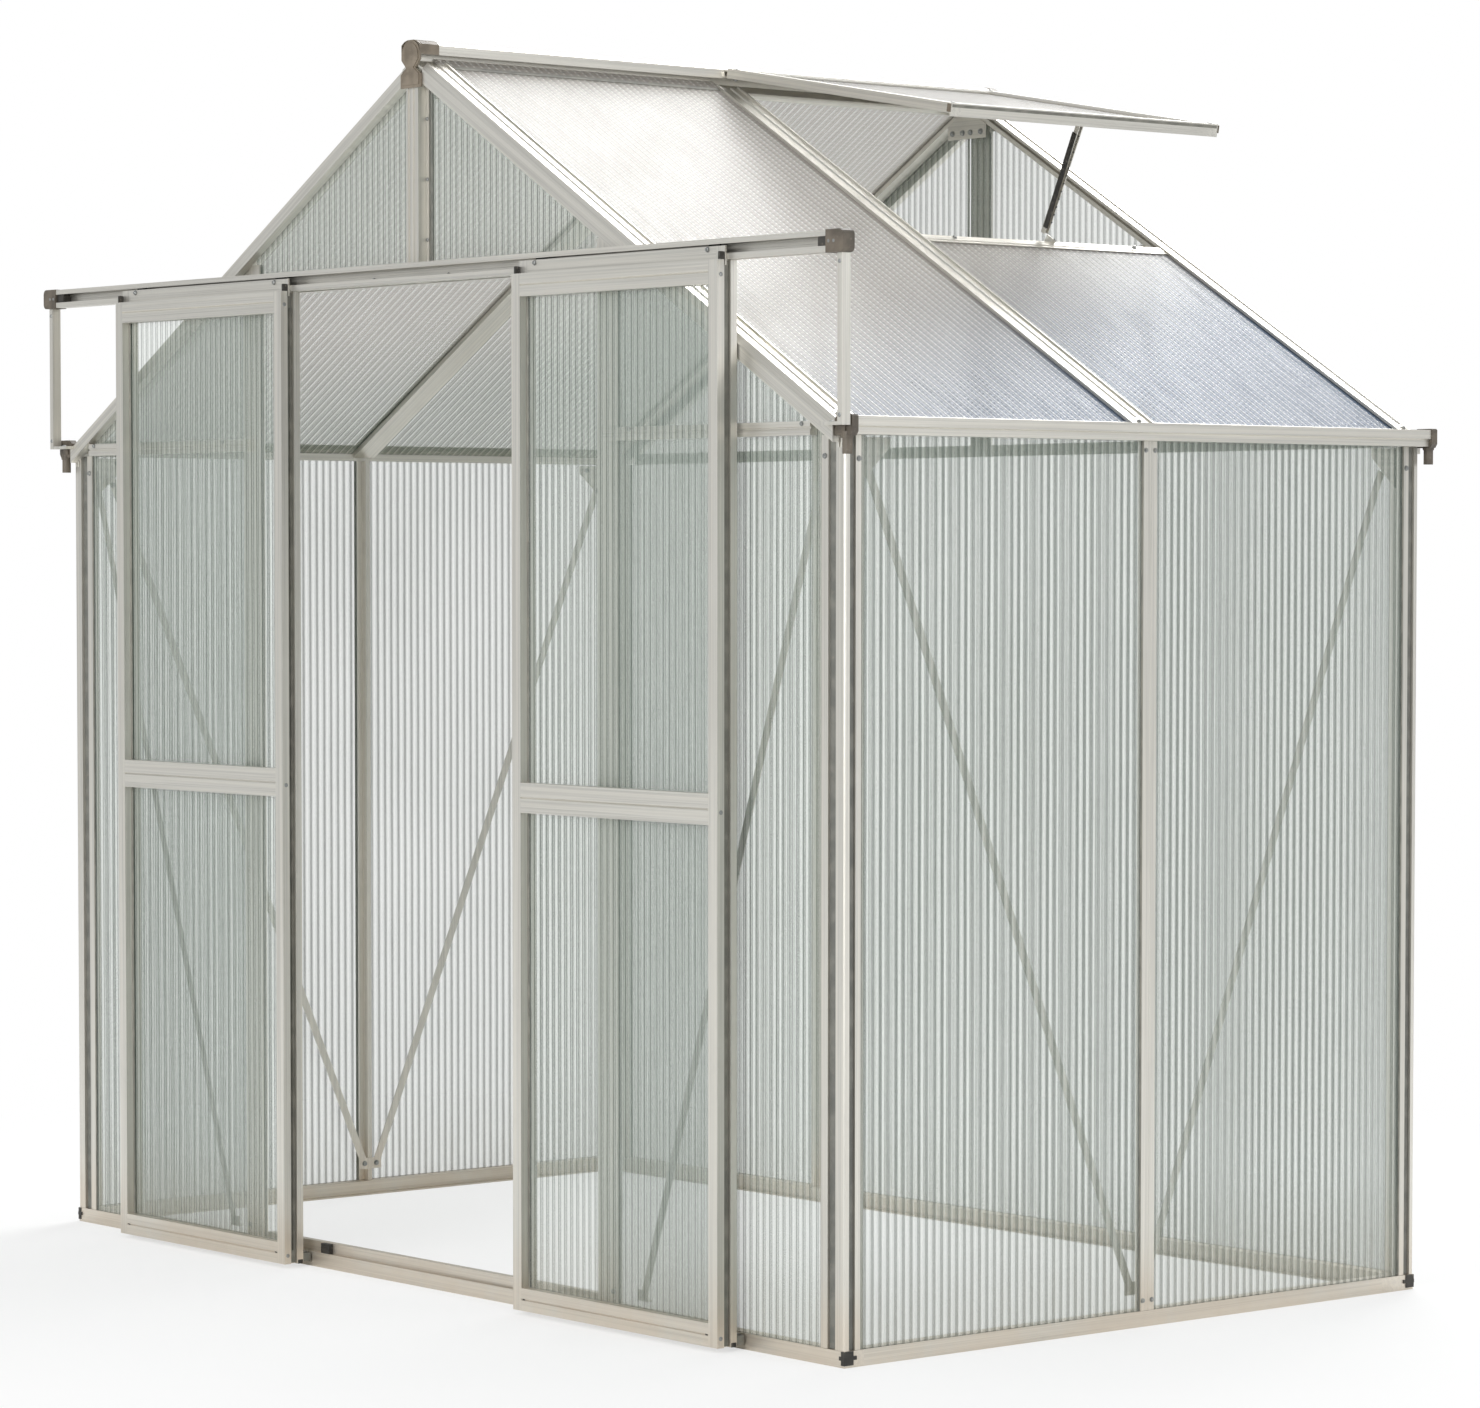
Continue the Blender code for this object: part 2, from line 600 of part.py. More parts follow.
def make_back_frame(parts, cutters):
    """Two studs, the eave bar and the king post of the back gable, riveted as one."""
    outer = BACK + GABLE_OUT
    inner = BACK - BAR_SEAT
    king_inner = BACK - BAR_SEAT / 2
    half = KING_WIDTH / 2
    top = slope_z(RIDGE_WING, ROOF_PANE_RISE - GAP - RIDGE_WING_THICK) - 2 * GAP
    face = [(x, outer - y) for x, y in king_face(GABLE_OUT - 2 * FLANGE)]
    king = face + [(half, king_inner), (-half, king_inner)]
    name = "back_gable_frame"
    far = EAVE_BAR_END
    bar = [
        (inner, EAVE_BAR_BOTTOM), (BACK + EAVE_BAR_OUT, EAVE_BAR_BOTTOM),
        (BACK + EAVE_BAR_OUT, EAVE_BAR_BOTTOM + EAVE_BAR_HEIGHT),
        (inner, EAVE_BAR_BOTTOM + EAVE_BAR_HEIGHT),
    ]
    frame = place(name, crossbar(name, bar, -far, far), aluminium(name), parts)
    combine(frame, upright("back_king", king, EAVE_BAR_BOTTOM + JOIN, top), "UNION", cutters)
    stud_top = slope_z(BACK_STUD_X + MULLION_WIDTH / 2, -RAFTER_BELOW) - GAP
    for x_sign in (-1, 1):
        section = [(y, x) for x, y in mullion_outline(MULLION_STEM)]
        outline = mirrored(section, 1, -1, x_sign * BACK_STUD_X, BACK)
        combine(frame, upright("back_stud", outline, FRAME_BOTTOM, stud_top), "UNION", cutters)


# Roof: rafters, ridge, gutters
def gable_rafter_outline():
    """First value inwards from the gable face, second above the rafter line."""
    slot_low = ROOF_PANE_RISE - GAP
    slot_high = slot_low + SLOT
    gable_slot = GABLE_OUT + SLOT_FROM
    rib = RAFTER_TOP + RAFTER_RIB
    groove = RAFTER_TOP - RAFTER_TOP_GROOVE
    side = RAFTER_GROOVE_SIDE
    return [
        (0, -RAFTER_FASCIA), (0, RAFTER_LIP), (RAFTER_BEVEL, RAFTER_TOP),
        (RAFTER_GROOVE_FROM, RAFTER_TOP), (RAFTER_GROOVE_FROM + side, groove),
        (RAFTER_GROOVE_TO - side, groove), (RAFTER_GROOVE_TO, RAFTER_TOP),
        (RAFTER_WIDTH - RAFTER_RIB_WIDTH, RAFTER_TOP), (RAFTER_WIDTH - RAFTER_RIB_WIDTH, rib),
        (RAFTER_WIDTH, rib), (RAFTER_WIDTH, slot_high), (RAFTER_WIDTH - RAFTER_SLOT, slot_high),
        (RAFTER_WIDTH - RAFTER_SLOT, slot_low), (RAFTER_WIDTH, slot_low),
        (RAFTER_WIDTH, -RAFTER_BELOW), (gable_slot + SLOT, -RAFTER_BELOW),
        (gable_slot + SLOT, RAFTER_LIP), (gable_slot, RAFTER_LIP), (gable_slot, -RAFTER_BELOW),
        (GABLE_OUT - GAP, -RAFTER_BELOW), (GABLE_OUT - GAP, -RAFTER_FASCIA),
    ]


def middle_rafter_outline():
    half = RAFTER_WIDTH / 2
    slot_low = ROOF_PANE_RISE - GAP
    slot_high = slot_low + SLOT
    inner = half - RAFTER_SLOT
    rib = RAFTER_TOP + RAFTER_RIB
    right = [
        (RAFTER_MIDDLE_GROOVE, RAFTER_TOP - RAFTER_TOP_GROOVE),
        (RAFTER_MIDDLE_GROOVE + RAFTER_GROOVE_SIDE, RAFTER_TOP),
        (half - RAFTER_RIB_WIDTH, RAFTER_TOP), (half - RAFTER_RIB_WIDTH, rib), (half, rib),
        (half, slot_high), (inner, slot_high), (inner, slot_low), (half, slot_low),
        (half, -RAFTER_BELOW),
    ]
    return right + [(-x, y) for x, y in reversed(right)]


def make_rafters(parts):
    kinds = (
        ("front", gable_rafter_outline(), 1, FRONT - GABLE_OUT),
        ("middle", middle_rafter_outline(), 1, MIDDLE),
        ("back", gable_rafter_outline(), -1, BACK + GABLE_OUT),
    )
    for kind, outline, y_sign, y_at in kinds:
        for side, x_sign in (("left", -1), ("right", 1)):
            name = "rafter_" + kind + "_" + side
            run = Vector((x_sign * (RAFTER_END - RAFTER_START), 0,
                          slope_z(RAFTER_END) - slope_z(RAFTER_START)))
            start = (x_sign * RAFTER_START, y_at, slope_z(RAFTER_START))
            # The ends are cut upright, so the outline stands in a vertical plane
            mesh = extrusion(name, outline, start, run, Y_AXIS * y_sign,
                             Z_AXIS / math.cos(PITCH))
            place(name, mesh, aluminium(name), parts)


def arc(centre_x, centre_y, radius, start, stop, steps):
    points = []
    for i in range(steps + 1):
        angle = start + (stop - start) * i / steps
        points.append((centre_x + radius * math.cos(angle), centre_y + radius * math.sin(angle)))
    return points


VENT_AXIS_Z = slope_z(VENT_AXIS_X, VENT_AXIS_RISE)


def make_ridge(parts, cutters):
    half = RIDGE_WIDTH / 2
    low = RIDGE_TOP - RIDGE_HOOD
    stem = RIDGE_STEM / 2
    wing_top = ROOF_PANE_RISE - GAP
    wing_low = wing_top - RIDGE_WING_THICK
    right = [
        (RIDGE_FLAT, RIDGE_TOP), (RIDGE_SHOULDER, RIDGE_TOP - RIDGE_SHOULDER_DROP),
        (half - LINE_DEPTH, RIDGE_TOP - RIDGE_EDGE_DROP), (half, low + RIDGE_LIP), (half, low),
        (half - RIDGE_LIP, low), (half - RIDGE_LIP - LINE_DEPTH, low + RIDGE_LIP_RISE),
        (stem, low + RIDGE_STEM_RISE), (stem, slope_z(stem, wing_top)),
        (RIDGE_WING, slope_z(RIDGE_WING, wing_top)), (RIDGE_WING, slope_z(RIDGE_WING, wing_low)),
    ]
    apex = [(0, slope_z(0, wing_low))]
    outline = right + apex + [(-x, y) for x, y in reversed(right)]
    front = FRONT - GABLE_OUT
    back = BACK + GABLE_OUT
    ridge = place("ridge_bar", purlin("ridge_bar", outline, front, back),
                  aluminium("ridge_bar"), parts)
    # The vent's bead turns in a round groove along the ridge
    vent_front, vent_back = vent_span()
    seat_run = vent_back - vent_front - 2 * VENT_HOOK_SHY
    axis = vent_axis()
    bore_radius = VENT_BEAD + 2 * GAP
    seat = rod("hinge_seat", axis, Y_AXIS, bore_radius + HINGE_WALL, seat_run, 20)
    combine(ridge, seat, "UNION", cutters)
    bore_run = seat_run + 2 * VENT_HOOK_SHY
    combine(ridge, rod("hinge_bore", axis, Y_AXIS, bore_radius, bore_run, 20), "DIFFERENCE", cutters)
    out = VENT_AXIS_X + HINGE_MOUTH
    mouth = purlin("hinge_mouth", [
        (VENT_AXIS_X, VENT_AXIS_Z - HINGE_MOUTH_FLOOR), (out, VENT_AXIS_Z - HINGE_MOUTH_DROP),
        (out, VENT_AXIS_Z + HINGE_MOUTH_FLOOR), (VENT_AXIS_X, VENT_AXIS_Z + HINGE_MOUTH_ROOF),
    ], vent_front, vent_back)
    combine(ridge, mouth, "DIFFERENCE", cutters)


def cap_outline(margin=0.0):
    """Face of a ridge cap: a rounded head, a neck and a house-shaped foot, all set in by margin."""
    top = RIDGE_TOP + RIDGE_CAP_HEAD - RIDGE_WIDTH / 2
    radius = RIDGE_CAP_HEAD - margin
    neck = RIDGE_CAP_NECK - margin
    foot = RIDGE_CAP_FOOT / 2 - margin
    low = top - RIDGE_CAP_HEIGHT + margin
    head = arc(0, top - RIDGE_CAP_HEAD, radius, 0, math.pi, 12)
    sides = [(radius, top - RIDGE_CAP_HEAD_DROP), (neck, top - RIDGE_CAP_NECK_DROP),
             (foot, top - RIDGE_CAP_EAVES_DROP), (foot, low)]
    return head + [(-x, z) for x, z in sides] + sides[::-1]


def make_ridge_caps(parts, cutters):
    """Moulded end caps: a faced plate and a sleeve that is pushed over the ridge."""
    edge = RIDGE_WIDTH / 2 + GAP
    wall = RIDGE_SLEEVE_WALL
    low = RIDGE_TOP - RIDGE_HOOD
    inside = [(edge, low), (edge, RIDGE_TOP - RIDGE_EDGE_DROP),
              (RIDGE_SHOULDER, RIDGE_TOP - RIDGE_SHOULDER_DROP + GAP), (RIDGE_FLAT, RIDGE_TOP + GAP)]
    outside = [(RIDGE_FLAT, RIDGE_TOP + GAP + wall),
               (RIDGE_SHOULDER + wall / 2, RIDGE_TOP - RIDGE_SHOULDER_DROP + GAP + wall),
               (edge + wall, RIDGE_TOP - RIDGE_EDGE_DROP + wall), (edge + wall, low)]
    left = [(-x, z) for x, z in inside[::-1]]
    sleeve_outline = inside + left + [(-x, z) for x, z in outside[::-1]] + outside
    ends = (("front", FRONT, -1, RIDGE_SLEEVE_FRONT), ("back", BACK, 1, RIDGE_SLEEVE_BACK))
    for end, y_at, y_sign, length in ends:
        name = "ridge_cap_" + end
        inner = y_at + y_sign * (GABLE_OUT + GAP)
        outer = inner + y_sign * (RIDGE_CAP_FRONT - GAP)
        plate = outer - y_sign * RIDGE_CAP_RELIEF
        mesh = purlin(name, cap_outline(), *sorted((inner, plate)))
        cap = place(name, mesh, plastic(name), parts)
        raised = purlin("panel", cap_outline(RIDGE_CAP_PANEL), *sorted((inner, outer)))
        combine(cap, raised, "UNION", cutters)
        sleeve_end = inner - y_sign * length
        sleeve = purlin("sleeve", sleeve_outline, *sorted((plate, sleeve_end)))
        combine(cap, sleeve, "UNION", cutters)


def make_gutters(parts):
    z = EAVE_UNDERSIDE
    slot_out = -SLOT_FROM
    slot_in = -(SLOT_FROM + SLOT)
    floor = z + GUTTER_FLOOR
    lip = z + GUTTER_LIP_HEIGHT
    inner_wall = GUTTER_OUT - GUTTER_WALL
    section = [
        (slot_out, z), (GUTTER_FASCIA, z), (GUTTER_FASCIA, floor - GUTTER_STEP),
        (GUTTER_OUT, floor), (GUTTER_OUT, lip), (GUTTER_OUT - GUTTER_LIP, lip),
        (GUTTER_OUT - GUTTER_LIP, lip - GUTTER_LIP), (inner_wall, lip - GUTTER_LIP - GUTTER_WALL),
        (inner_wall, floor + GUTTER_STEP), (-GUTTER_INNER, floor + GUTTER_FALL),
        (-GUTTER_INNER, z), (slot_in, z), (slot_in, floor - GUTTER_SLOT_ROOF),
        (slot_out, floor - GUTTER_SLOT_ROOF),
    ]
    for side, x_sign in (("left", -1), ("right", 1)):
        name = "gutter_" + side
        outline = mirrored(section, x_sign, 1, x_sign * HALF_W, 0)
        place(name, purlin(name, outline, FRONT, BACK), aluminium(name), parts)


def make_gutter_caps(parts, cutters):
    margin = GUTTER_CAP_MARGIN
    low = EAVE_UNDERSIDE - margin
    high = EAVE_UNDERSIDE + GUTTER_LIP_HEIGHT + margin
    inner = -GUTTER_INNER + 2 * GAP
    outer = GUTTER_OUT + margin
    profile = [(inner, low), (outer - 0.004, low), (outer, low + 0.006), (outer, high - 0.002),
               (outer - 0.002, high), (inner + 0.006, high), (inner, high - 0.006)]
    for front_back, y_at, y_sign in (("front", FRONT, -1), ("back", BACK, 1)):
        for side, x_sign in (("left", -1), ("right", 1)):
            name = "gutter_cap_" + front_back + "_" + side
            outline = mirrored(profile, x_sign, 1, x_sign * HALF_W, 0)
            near = y_at + y_sign * GAP
            far = near + y_sign * GUTTER_CAP_THICK
            mesh = purlin(name, outline, *sorted((near, far)))
            cap = place(name, mesh, plastic(name), parts)
            nozzle_x = x_sign * (HALF_W + GUTTER_OUT - 0.013)
            nozzle_y = near + y_sign * NOZZLE_RADIUS * 1.05
            centre = (nozzle_x, nozzle_y, low - NOZZLE_LENGTH / 2 + 0.003)
            combine(cap, rod("nozzle", centre, Z_AXIS, NOZZLE_RADIUS, NOZZLE_LENGTH + 0.006),
                    "UNION", cutters)
            bore = (nozzle_x, nozzle_y, low - NOZZLE_LENGTH)
            combine(cap, rod("nozzle_bore", bore, Z_AXIS, NOZZLE_RADIUS - 0.002, 0.030),
                    "DIFFERENCE", cutters)


# Door rail
def make_rail(parts):
    depth = RAIL_FRONT_OUT - GABLE_OUT - GAP
    height = RAIL_HEIGHT
    wall = RAIL_WALL
    section = [
        (0, 0), (depth, 0), (depth, height), (0, height), (0, height - RAIL_LIP_TOP),
        (wall, height - RAIL_LIP_TOP), (wall, height - wall), (depth - wall, height - wall),
    ]
    inner = height - 2 * wall
    for i in range(RAIL_RIBS):
        high = height - wall - inner * (i + 1) / (RAIL_RIBS + 1) + RAIL_RIB_WIDTH / 2
        low = high - RAIL_RIB_WIDTH
        crest = depth - wall - RAIL_RIB_DEPTH
        section += [(depth - wall, high), (crest, high), (crest, low), (depth - wall, low)]
    section += [(depth - wall, wall), (wall, wall), (wall, RAIL_LIP_BOTTOM), (0, RAIL_LIP_BOTTOM)]
    outline = mirrored(section, 1, 1, FRONT - RAIL_FRONT_OUT, RAIL_BOTTOM)
    place("door_rail", crossbar("door_rail", outline, -HALF_W + GAP, HALF_W - GAP),
          aluminium("door_rail"), parts)
    low = FRONT - RAIL_FRONT_OUT - RAIL_CAP_MARGIN
    high = low + depth + RAIL_CAP_MARGIN
    round_at = RAIL_CAP_LENGTH - RAIL_CAP_ROUND
    mid = (low + high) / 2
    for side, x_sign in (("left", -1), ("right", 1)):
        name = "door_rail_cap_" + side
        top = RAIL_BOTTOM + height + RAIL_CAP_MARGIN
        bottom = RAIL_BOTTOM - RAIL_CAP_MARGIN
        profile = [(0, bottom), (round_at, bottom)]
        profile += arc(round_at, bottom + RAIL_CAP_ROUND, RAIL_CAP_ROUND, -math.pi / 2, 0, 4)[1:]
        profile += arc(round_at, top - RAIL_CAP_ROUND, RAIL_CAP_ROUND, 0, math.pi / 2, 4)
        profile += [(0, top)]
        outline = mirrored(profile, x_sign, 1, x_sign * HALF_W, 0)
        place(name, purlin(name, outline, low, high), plastic(name), parts)
        strut_name = "rail_strut_" + side
        x = x_sign * (HALF_W + RAIL_CAP_LENGTH - STRUT_FROM_END)
        foot_end = x - x_sign * STRUT_FOOT_LENGTH
        half = STRUT_WIDTH / 2
        # One bent bar: the rod comes down from the cap and its foot turns inwards
        bent = [(x + x_sign * half, STRUT_BOTTOM), (x + x_sign * half, bottom - GAP),
                (x - x_sign * half, bottom - GAP), (x - x_sign * half, STRUT_BOTTOM + STRUT_FOOT),
                (foot_end, STRUT_BOTTOM + STRUT_FOOT), (foot_end, STRUT_BOTTOM)]
        mesh = purlin(strut_name, bent, mid - half, FRONT - GABLE_OUT - GAP)
        place(strut_name, mesh, aluminium(strut_name), parts)


# Doors
def make_door(side, x_sign, parts, cutters):
    """One door: the joint's rest is where the door stands open."""
    inner_x = x_sign * DOOR_OPEN
    front = FRONT - DOOR_FRONT_OUT
    top = RAIL_BOTTOM - GAP
    left = min(inner_x, inner_x + x_sign * DOOR_WIDTH)
    right = left + DOOR_WIDTH
    stile = [
        (0, 0), (STILE_FACE, 0), (STILE_FACE, DOOR_SLOT_FROM),
        (STILE_FACE - DOOR_SLOT_DEPTH, DOOR_SLOT_FROM),
        (STILE_FACE - DOOR_SLOT_DEPTH, DOOR_SLOT_FROM + SLOT), (STILE_FACE, DOOR_SLOT_FROM + SLOT),
        (STILE_FACE, DOOR_RAIL_DEPTH), (STILE_BACK_WIDTH, DOOR_RAIL_DEPTH),
        (STILE_BACK_WIDTH, STILE_DEPTH), (0, STILE_DEPTH), (0, STILE_GROOVE_TO),
        (STILE_GROOVE_DEPTH, STILE_GROOVE_TO), (STILE_GROOVE_DEPTH, STILE_GROOVE_FROM),
        (0, STILE_GROOVE_FROM),
    ]
    name = side + "_door_frame"
    origin = (inner_x, front, RAIL_BOTTOM)
    outline = mirrored(stile, 1, 1, left, front)
    frame = place(name, upright(name, outline, DOOR_BOTTOM, top), aluminium(name), parts, origin)
    far = upright("stile", mirrored(stile, -1, 1, right, front), DOOR_BOTTOM, top)
    combine(frame, far, "UNION", cutters)

    slot_back = DOOR_SLOT_FROM + SLOT
    line = DOOR_RAIL_LINE
    mid = DOOR_RAIL_HEIGHT / 2

    def edge_rail(at, sign):
        height = DOOR_RAIL_HEIGHT
        section = [
            (0, 0), (DOOR_RAIL_DEPTH, 0), (DOOR_RAIL_DEPTH, height), (slot_back, height),
            (slot_back, height - DOOR_SLOT_DEPTH), (DOOR_SLOT_FROM, height - DOOR_SLOT_DEPTH),
            (DOOR_SLOT_FROM, height), (0, height), (0, mid + line), (line, mid),
            (0, mid - line),
        ]
        return mirrored(section, 1, sign, front, at)

    near_x = left + STILE_FACE - DOOR_SLOT_DEPTH - JOIN
    far_x = right - STILE_FACE + DOOR_SLOT_DEPTH + JOIN
    bottom_rail = crossbar("bottom_rail", edge_rail(DOOR_BOTTOM, 1), near_x, far_x)
    combine(frame, bottom_rail, "UNION", cutters)
    combine(frame, crossbar("top_rail", edge_rail(top, -1), near_x, far_x), "UNION", cutters)
    half = MID_RAIL_HEIGHT / 2
    mid_section = [
        (0, 0), (DOOR_SLOT_FROM, 0), (DOOR_SLOT_FROM, MID_RAIL_HEIGHT), (0, MID_RAIL_HEIGHT),
        (0, half + line), (line, half), (0, half - line),
    ]
    mid_outline = mirrored(mid_section, 1, 1, front, MID_RAIL_BOTTOM)
    near_x = left + STILE_FACE - 2 * JOIN
    far_x = right - STILE_FACE + 2 * JOIN
    combine(frame, crossbar("mid_rail", mid_outline, near_x, far_x), "UNION", cutters)
    hanger_back = FRONT - RAIL_FRONT_OUT - HANGER_GAP
    hanger = [(hanger_back - HANGER_THICK, top - HANGER_SEAT), (hanger_back, top - HANGER_SEAT),
              (hanger_back, HANGER_TOP), (hanger_back - HANGER_THICK, HANGER_TOP)]
    combine(frame, crossbar("hanger", hanger, left, right), "UNION", cutters)

    pane_name = side + "_door_pane"
    edge = STILE_FACE - DOOR_SLOT_DEPTH + GAP
    foot = DOOR_BOTTOM + DOOR_RAIL_HEIGHT - DOOR_SLOT_DEPTH + GAP
    head = top - DOOR_RAIL_HEIGHT + DOOR_SLOT_DEPTH - GAP
    pane_front = front + DOOR_SLOT_FROM + GAP
    mesh = box(pane_name, (left + edge, pane_front, foot), (right - edge, pane_front + PANE, head))
    place(pane_name, mesh, glazing(pane_name), parts, origin)


def roller_radius():
    return (RAIL_HEIGHT - 2 * RAIL_WALL) / 2 - GAP


def make_rollers(side, x_sign, parts):
    """Each roller is a turned wheel with the axle that comes out to the hanger."""
    radius = roller_radius()
    centre_y = FRONT - (RAIL_FRONT_OUT + GABLE_OUT) / 2
    axle_end = FRONT - RAIL_FRONT_OUT - HANGER_GAP + GAP
    half = ROLLER_THICK / 2
    profile = [(0.0, half), (radius - 0.001, half), (radius, half - 0.001),
               (radius, 0.001 - half), (radius - 0.001, -half), (ROLLER_AXLE, -half),
               (ROLLER_AXLE, axle_end - centre_y), (0.0, axle_end - centre_y)]
    for place_name, x in (("inner", ROLLER_INSET), ("outer", DOOR_WIDTH - ROLLER_INSET)):
        name = side + "_door_roller_" + place_name
        mesh = bpy.data.meshes.new(name)
        work = bmesh.new()
        verts = [work.verts.new((r, y, 0)) for r, y in profile]
        edges = [work.edges.new(pair) for pair in zip(verts, verts[1:])]
        bmesh.ops.spin(work, geom=verts + edges, cent=(0, 0, 0), axis=(0, 1, 0),
                       angle=math.tau, steps=24, use_merge=True)
        bmesh.ops.remove_doubles(work, verts=work.verts, dist=0.00001)
        bmesh.ops.recalc_face_normals(work, faces=work.faces)
        work.to_mesh(mesh)
        work.free()
        roller = place(name, mesh, plastic(name), parts)
        roller.location = (x_sign * (DOOR_OPEN + x), centre_y,
                           RAIL_BOTTOM + RAIL_WALL + GAP + radius)
        smooth(roller)


# Glazing
def sheet(name, outline, y_front, parts):
    """A wall sheet across the gable: its outline in X and Z."""
    place(name, purlin(name, outline, y_front, y_front + PANE), glazing(name), parts)


def make_gable_panes(parts):
    fixed_near = JAMB_OUTER - JAMB_SLOT + GAP
    y_front = FRONT + PANE_INSET
    cap_z = slope_z(RIDGE_WING, ROOF_PANE_RISE - GAP - RIDGE_WING_THICK) - 3 * GAP
    cap_x = (slope_z(0, GABLE_PANE_RISE) - cap_z) / math.tan(PITCH)
    king_edge = KING_WIDTH / 2 - KING_SLOT + GAP
    jamb_edge = JAMB_OUTER - JAMB_WIDTH + JAMB_SLOT - GAP
    header = RAIL_BOTTOM + RAIL_LIP_BOTTOM + GAP
    for side, x_sign in (("left", -1), ("right", 1)):
        fixed = [
            (fixed_near, PANE_BOTTOM), (GABLE_PANE_EDGE, PANE_BOTTOM),
            (GABLE_PANE_EDGE, slope_z(GABLE_PANE_EDGE, GABLE_PANE_RISE)),
            (fixed_near, slope_z(fixed_near, GABLE_PANE_RISE)),
        ]
        sheet("front_pane_" + side, mirrored(fixed, x_sign), y_front, parts)
        upper = [
            (king_edge, header), (jamb_edge, header),
            (jamb_edge, slope_z(jamb_edge, GABLE_PANE_RISE)), (cap_x, cap_z), (king_edge, cap_z),
        ]
        sheet("gable_pane_" + side, mirrored(upper, x_sign), y_front, parts)
        near = BACK_STUD_X + WEB / 2 + GAP
        back = [
            (near, PANE_BOTTOM), (GABLE_PANE_EDGE, PANE_BOTTOM),
            (GABLE_PANE_EDGE, slope_z(GABLE_PANE_EDGE, GABLE_PANE_RISE)),
            (near, slope_z(near, GABLE_PANE_RISE)),
        ]
        sheet("back_pane_" + side, mirrored(back, x_sign), BACK - PANE_INSET - PANE, parts)
    near = BACK_STUD_X - WEB / 2 - GAP
    centre = [
        (-near, PANE_BOTTOM), (near, PANE_BOTTOM), (near, slope_z(near, GABLE_PANE_RISE)),
        (cap_x, cap_z), (-cap_x, cap_z), (-near, slope_z(near, GABLE_PANE_RISE)),
    ]
    sheet("back_pane_centre", centre, BACK - PANE_INSET - PANE, parts)


def make_side_panes(parts):
    head = EAVE_UNDERSIDE + GUTTER_FLOOR - GUTTER_SLOT_ROOF - GAP
    ends = (
        ("front", FRONT + SIDE_PANE_EDGE, MIDDLE - WEB / 2 - GAP),
        ("back", MIDDLE + WEB / 2 + GAP, BACK - SIDE_PANE_EDGE),
    )
    for side, x_sign in (("left", -1), ("right", 1)):
        outer = x_sign * (HALF_W - PANE_INSET)
        inner = x_sign * (HALF_W - PANE_INSET - PANE)
        for end, low_y, high_y in ends:
            name = "side_pane_" + side + "_" + end
            low_x, high_x = sorted((outer, inner))
            mesh = box(name, (low_x, low_y, PANE_BOTTOM), (high_x, high_y, head))
            place(name, mesh, glazing(name), parts)


ROOF_PANE_TOP = 0.012


def roof_sheet(name, x_sign, top_x, low_y, high_y, parts):
    """A sheet on one slope, from top_x down to the eave beam."""
    run = Vector((x_sign * (RAFTER_END - top_x), 0, slope_z(RAFTER_END) - slope_z(top_x)))
    start = Vector((x_sign * top_x, 0, slope_z(top_x, ROOF_PANE_RISE)))
    outline = [(low_y, 0), (high_y, 0), (high_y, PANE), (low_y, PANE)]
    up = Z_AXIS / math.cos(PITCH)
    mesh = extrusion(name, outline, start, run, Y_AXIS, up)
    place(name, mesh, glazing(name), parts)


def make_roof_panes(parts):
    front_edge = FRONT - GABLE_OUT + RAFTER_WIDTH - RAFTER_SLOT + GAP
    back_edge = BACK + GABLE_OUT - RAFTER_WIDTH + RAFTER_SLOT - GAP
    before = MIDDLE - RAFTER_WIDTH / 2 + RAFTER_SLOT - GAP
    behind = MIDDLE + RAFTER_WIDTH / 2 - RAFTER_SLOT + GAP
    roof_sheet("roof_pane_left_front", -1, ROOF_PANE_TOP, front_edge, before, parts)
    roof_sheet("roof_pane_left_back", -1, ROOF_PANE_TOP, behind, back_edge, parts)
    roof_sheet("roof_pane_right_front", 1, ROOF_PANE_TOP, front_edge, before, parts)
    sill_x = (SILL_FROM + SILL_WIDTH) * math.cos(PITCH)
    sill_x += (ROOF_PANE_RISE + PANE) * math.sin(PITCH)
    roof_sheet("roof_pane_right_back", 1, sill_x, behind, back_edge, parts)


# Vent
def slope_point(along, rise, y=0.0):
    """A point of the right slope: along it from over the ridge, and above its line."""
    origin = Vector((0, y, RAFTER_LINE_TOP))
    return origin + SLOPE_OUT * along + SLOPE_UP * rise


def vent_axis():
    return Vector((VENT_AXIS_X, (MIDDLE + BACK) / 2, VENT_AXIS_Z))


def opened(mesh):
    """Turn a mesh of the closed vent to where the vent stands open."""
    axis = vent_axis()
    turn = Matrix.Rotation(-VENT_OPEN, 4, "Y")
    mesh.transform(Matrix.Translation(axis) @ turn @ Matrix.Translation(-axis))
    return mesh


def vent_span():
    margin = RAFTER_WIDTH / 2 - VENT_SIDE_LAP
    front = MIDDLE - VENT_SIDE_LAP
    back = BACK + GABLE_OUT - margin
    return front, back


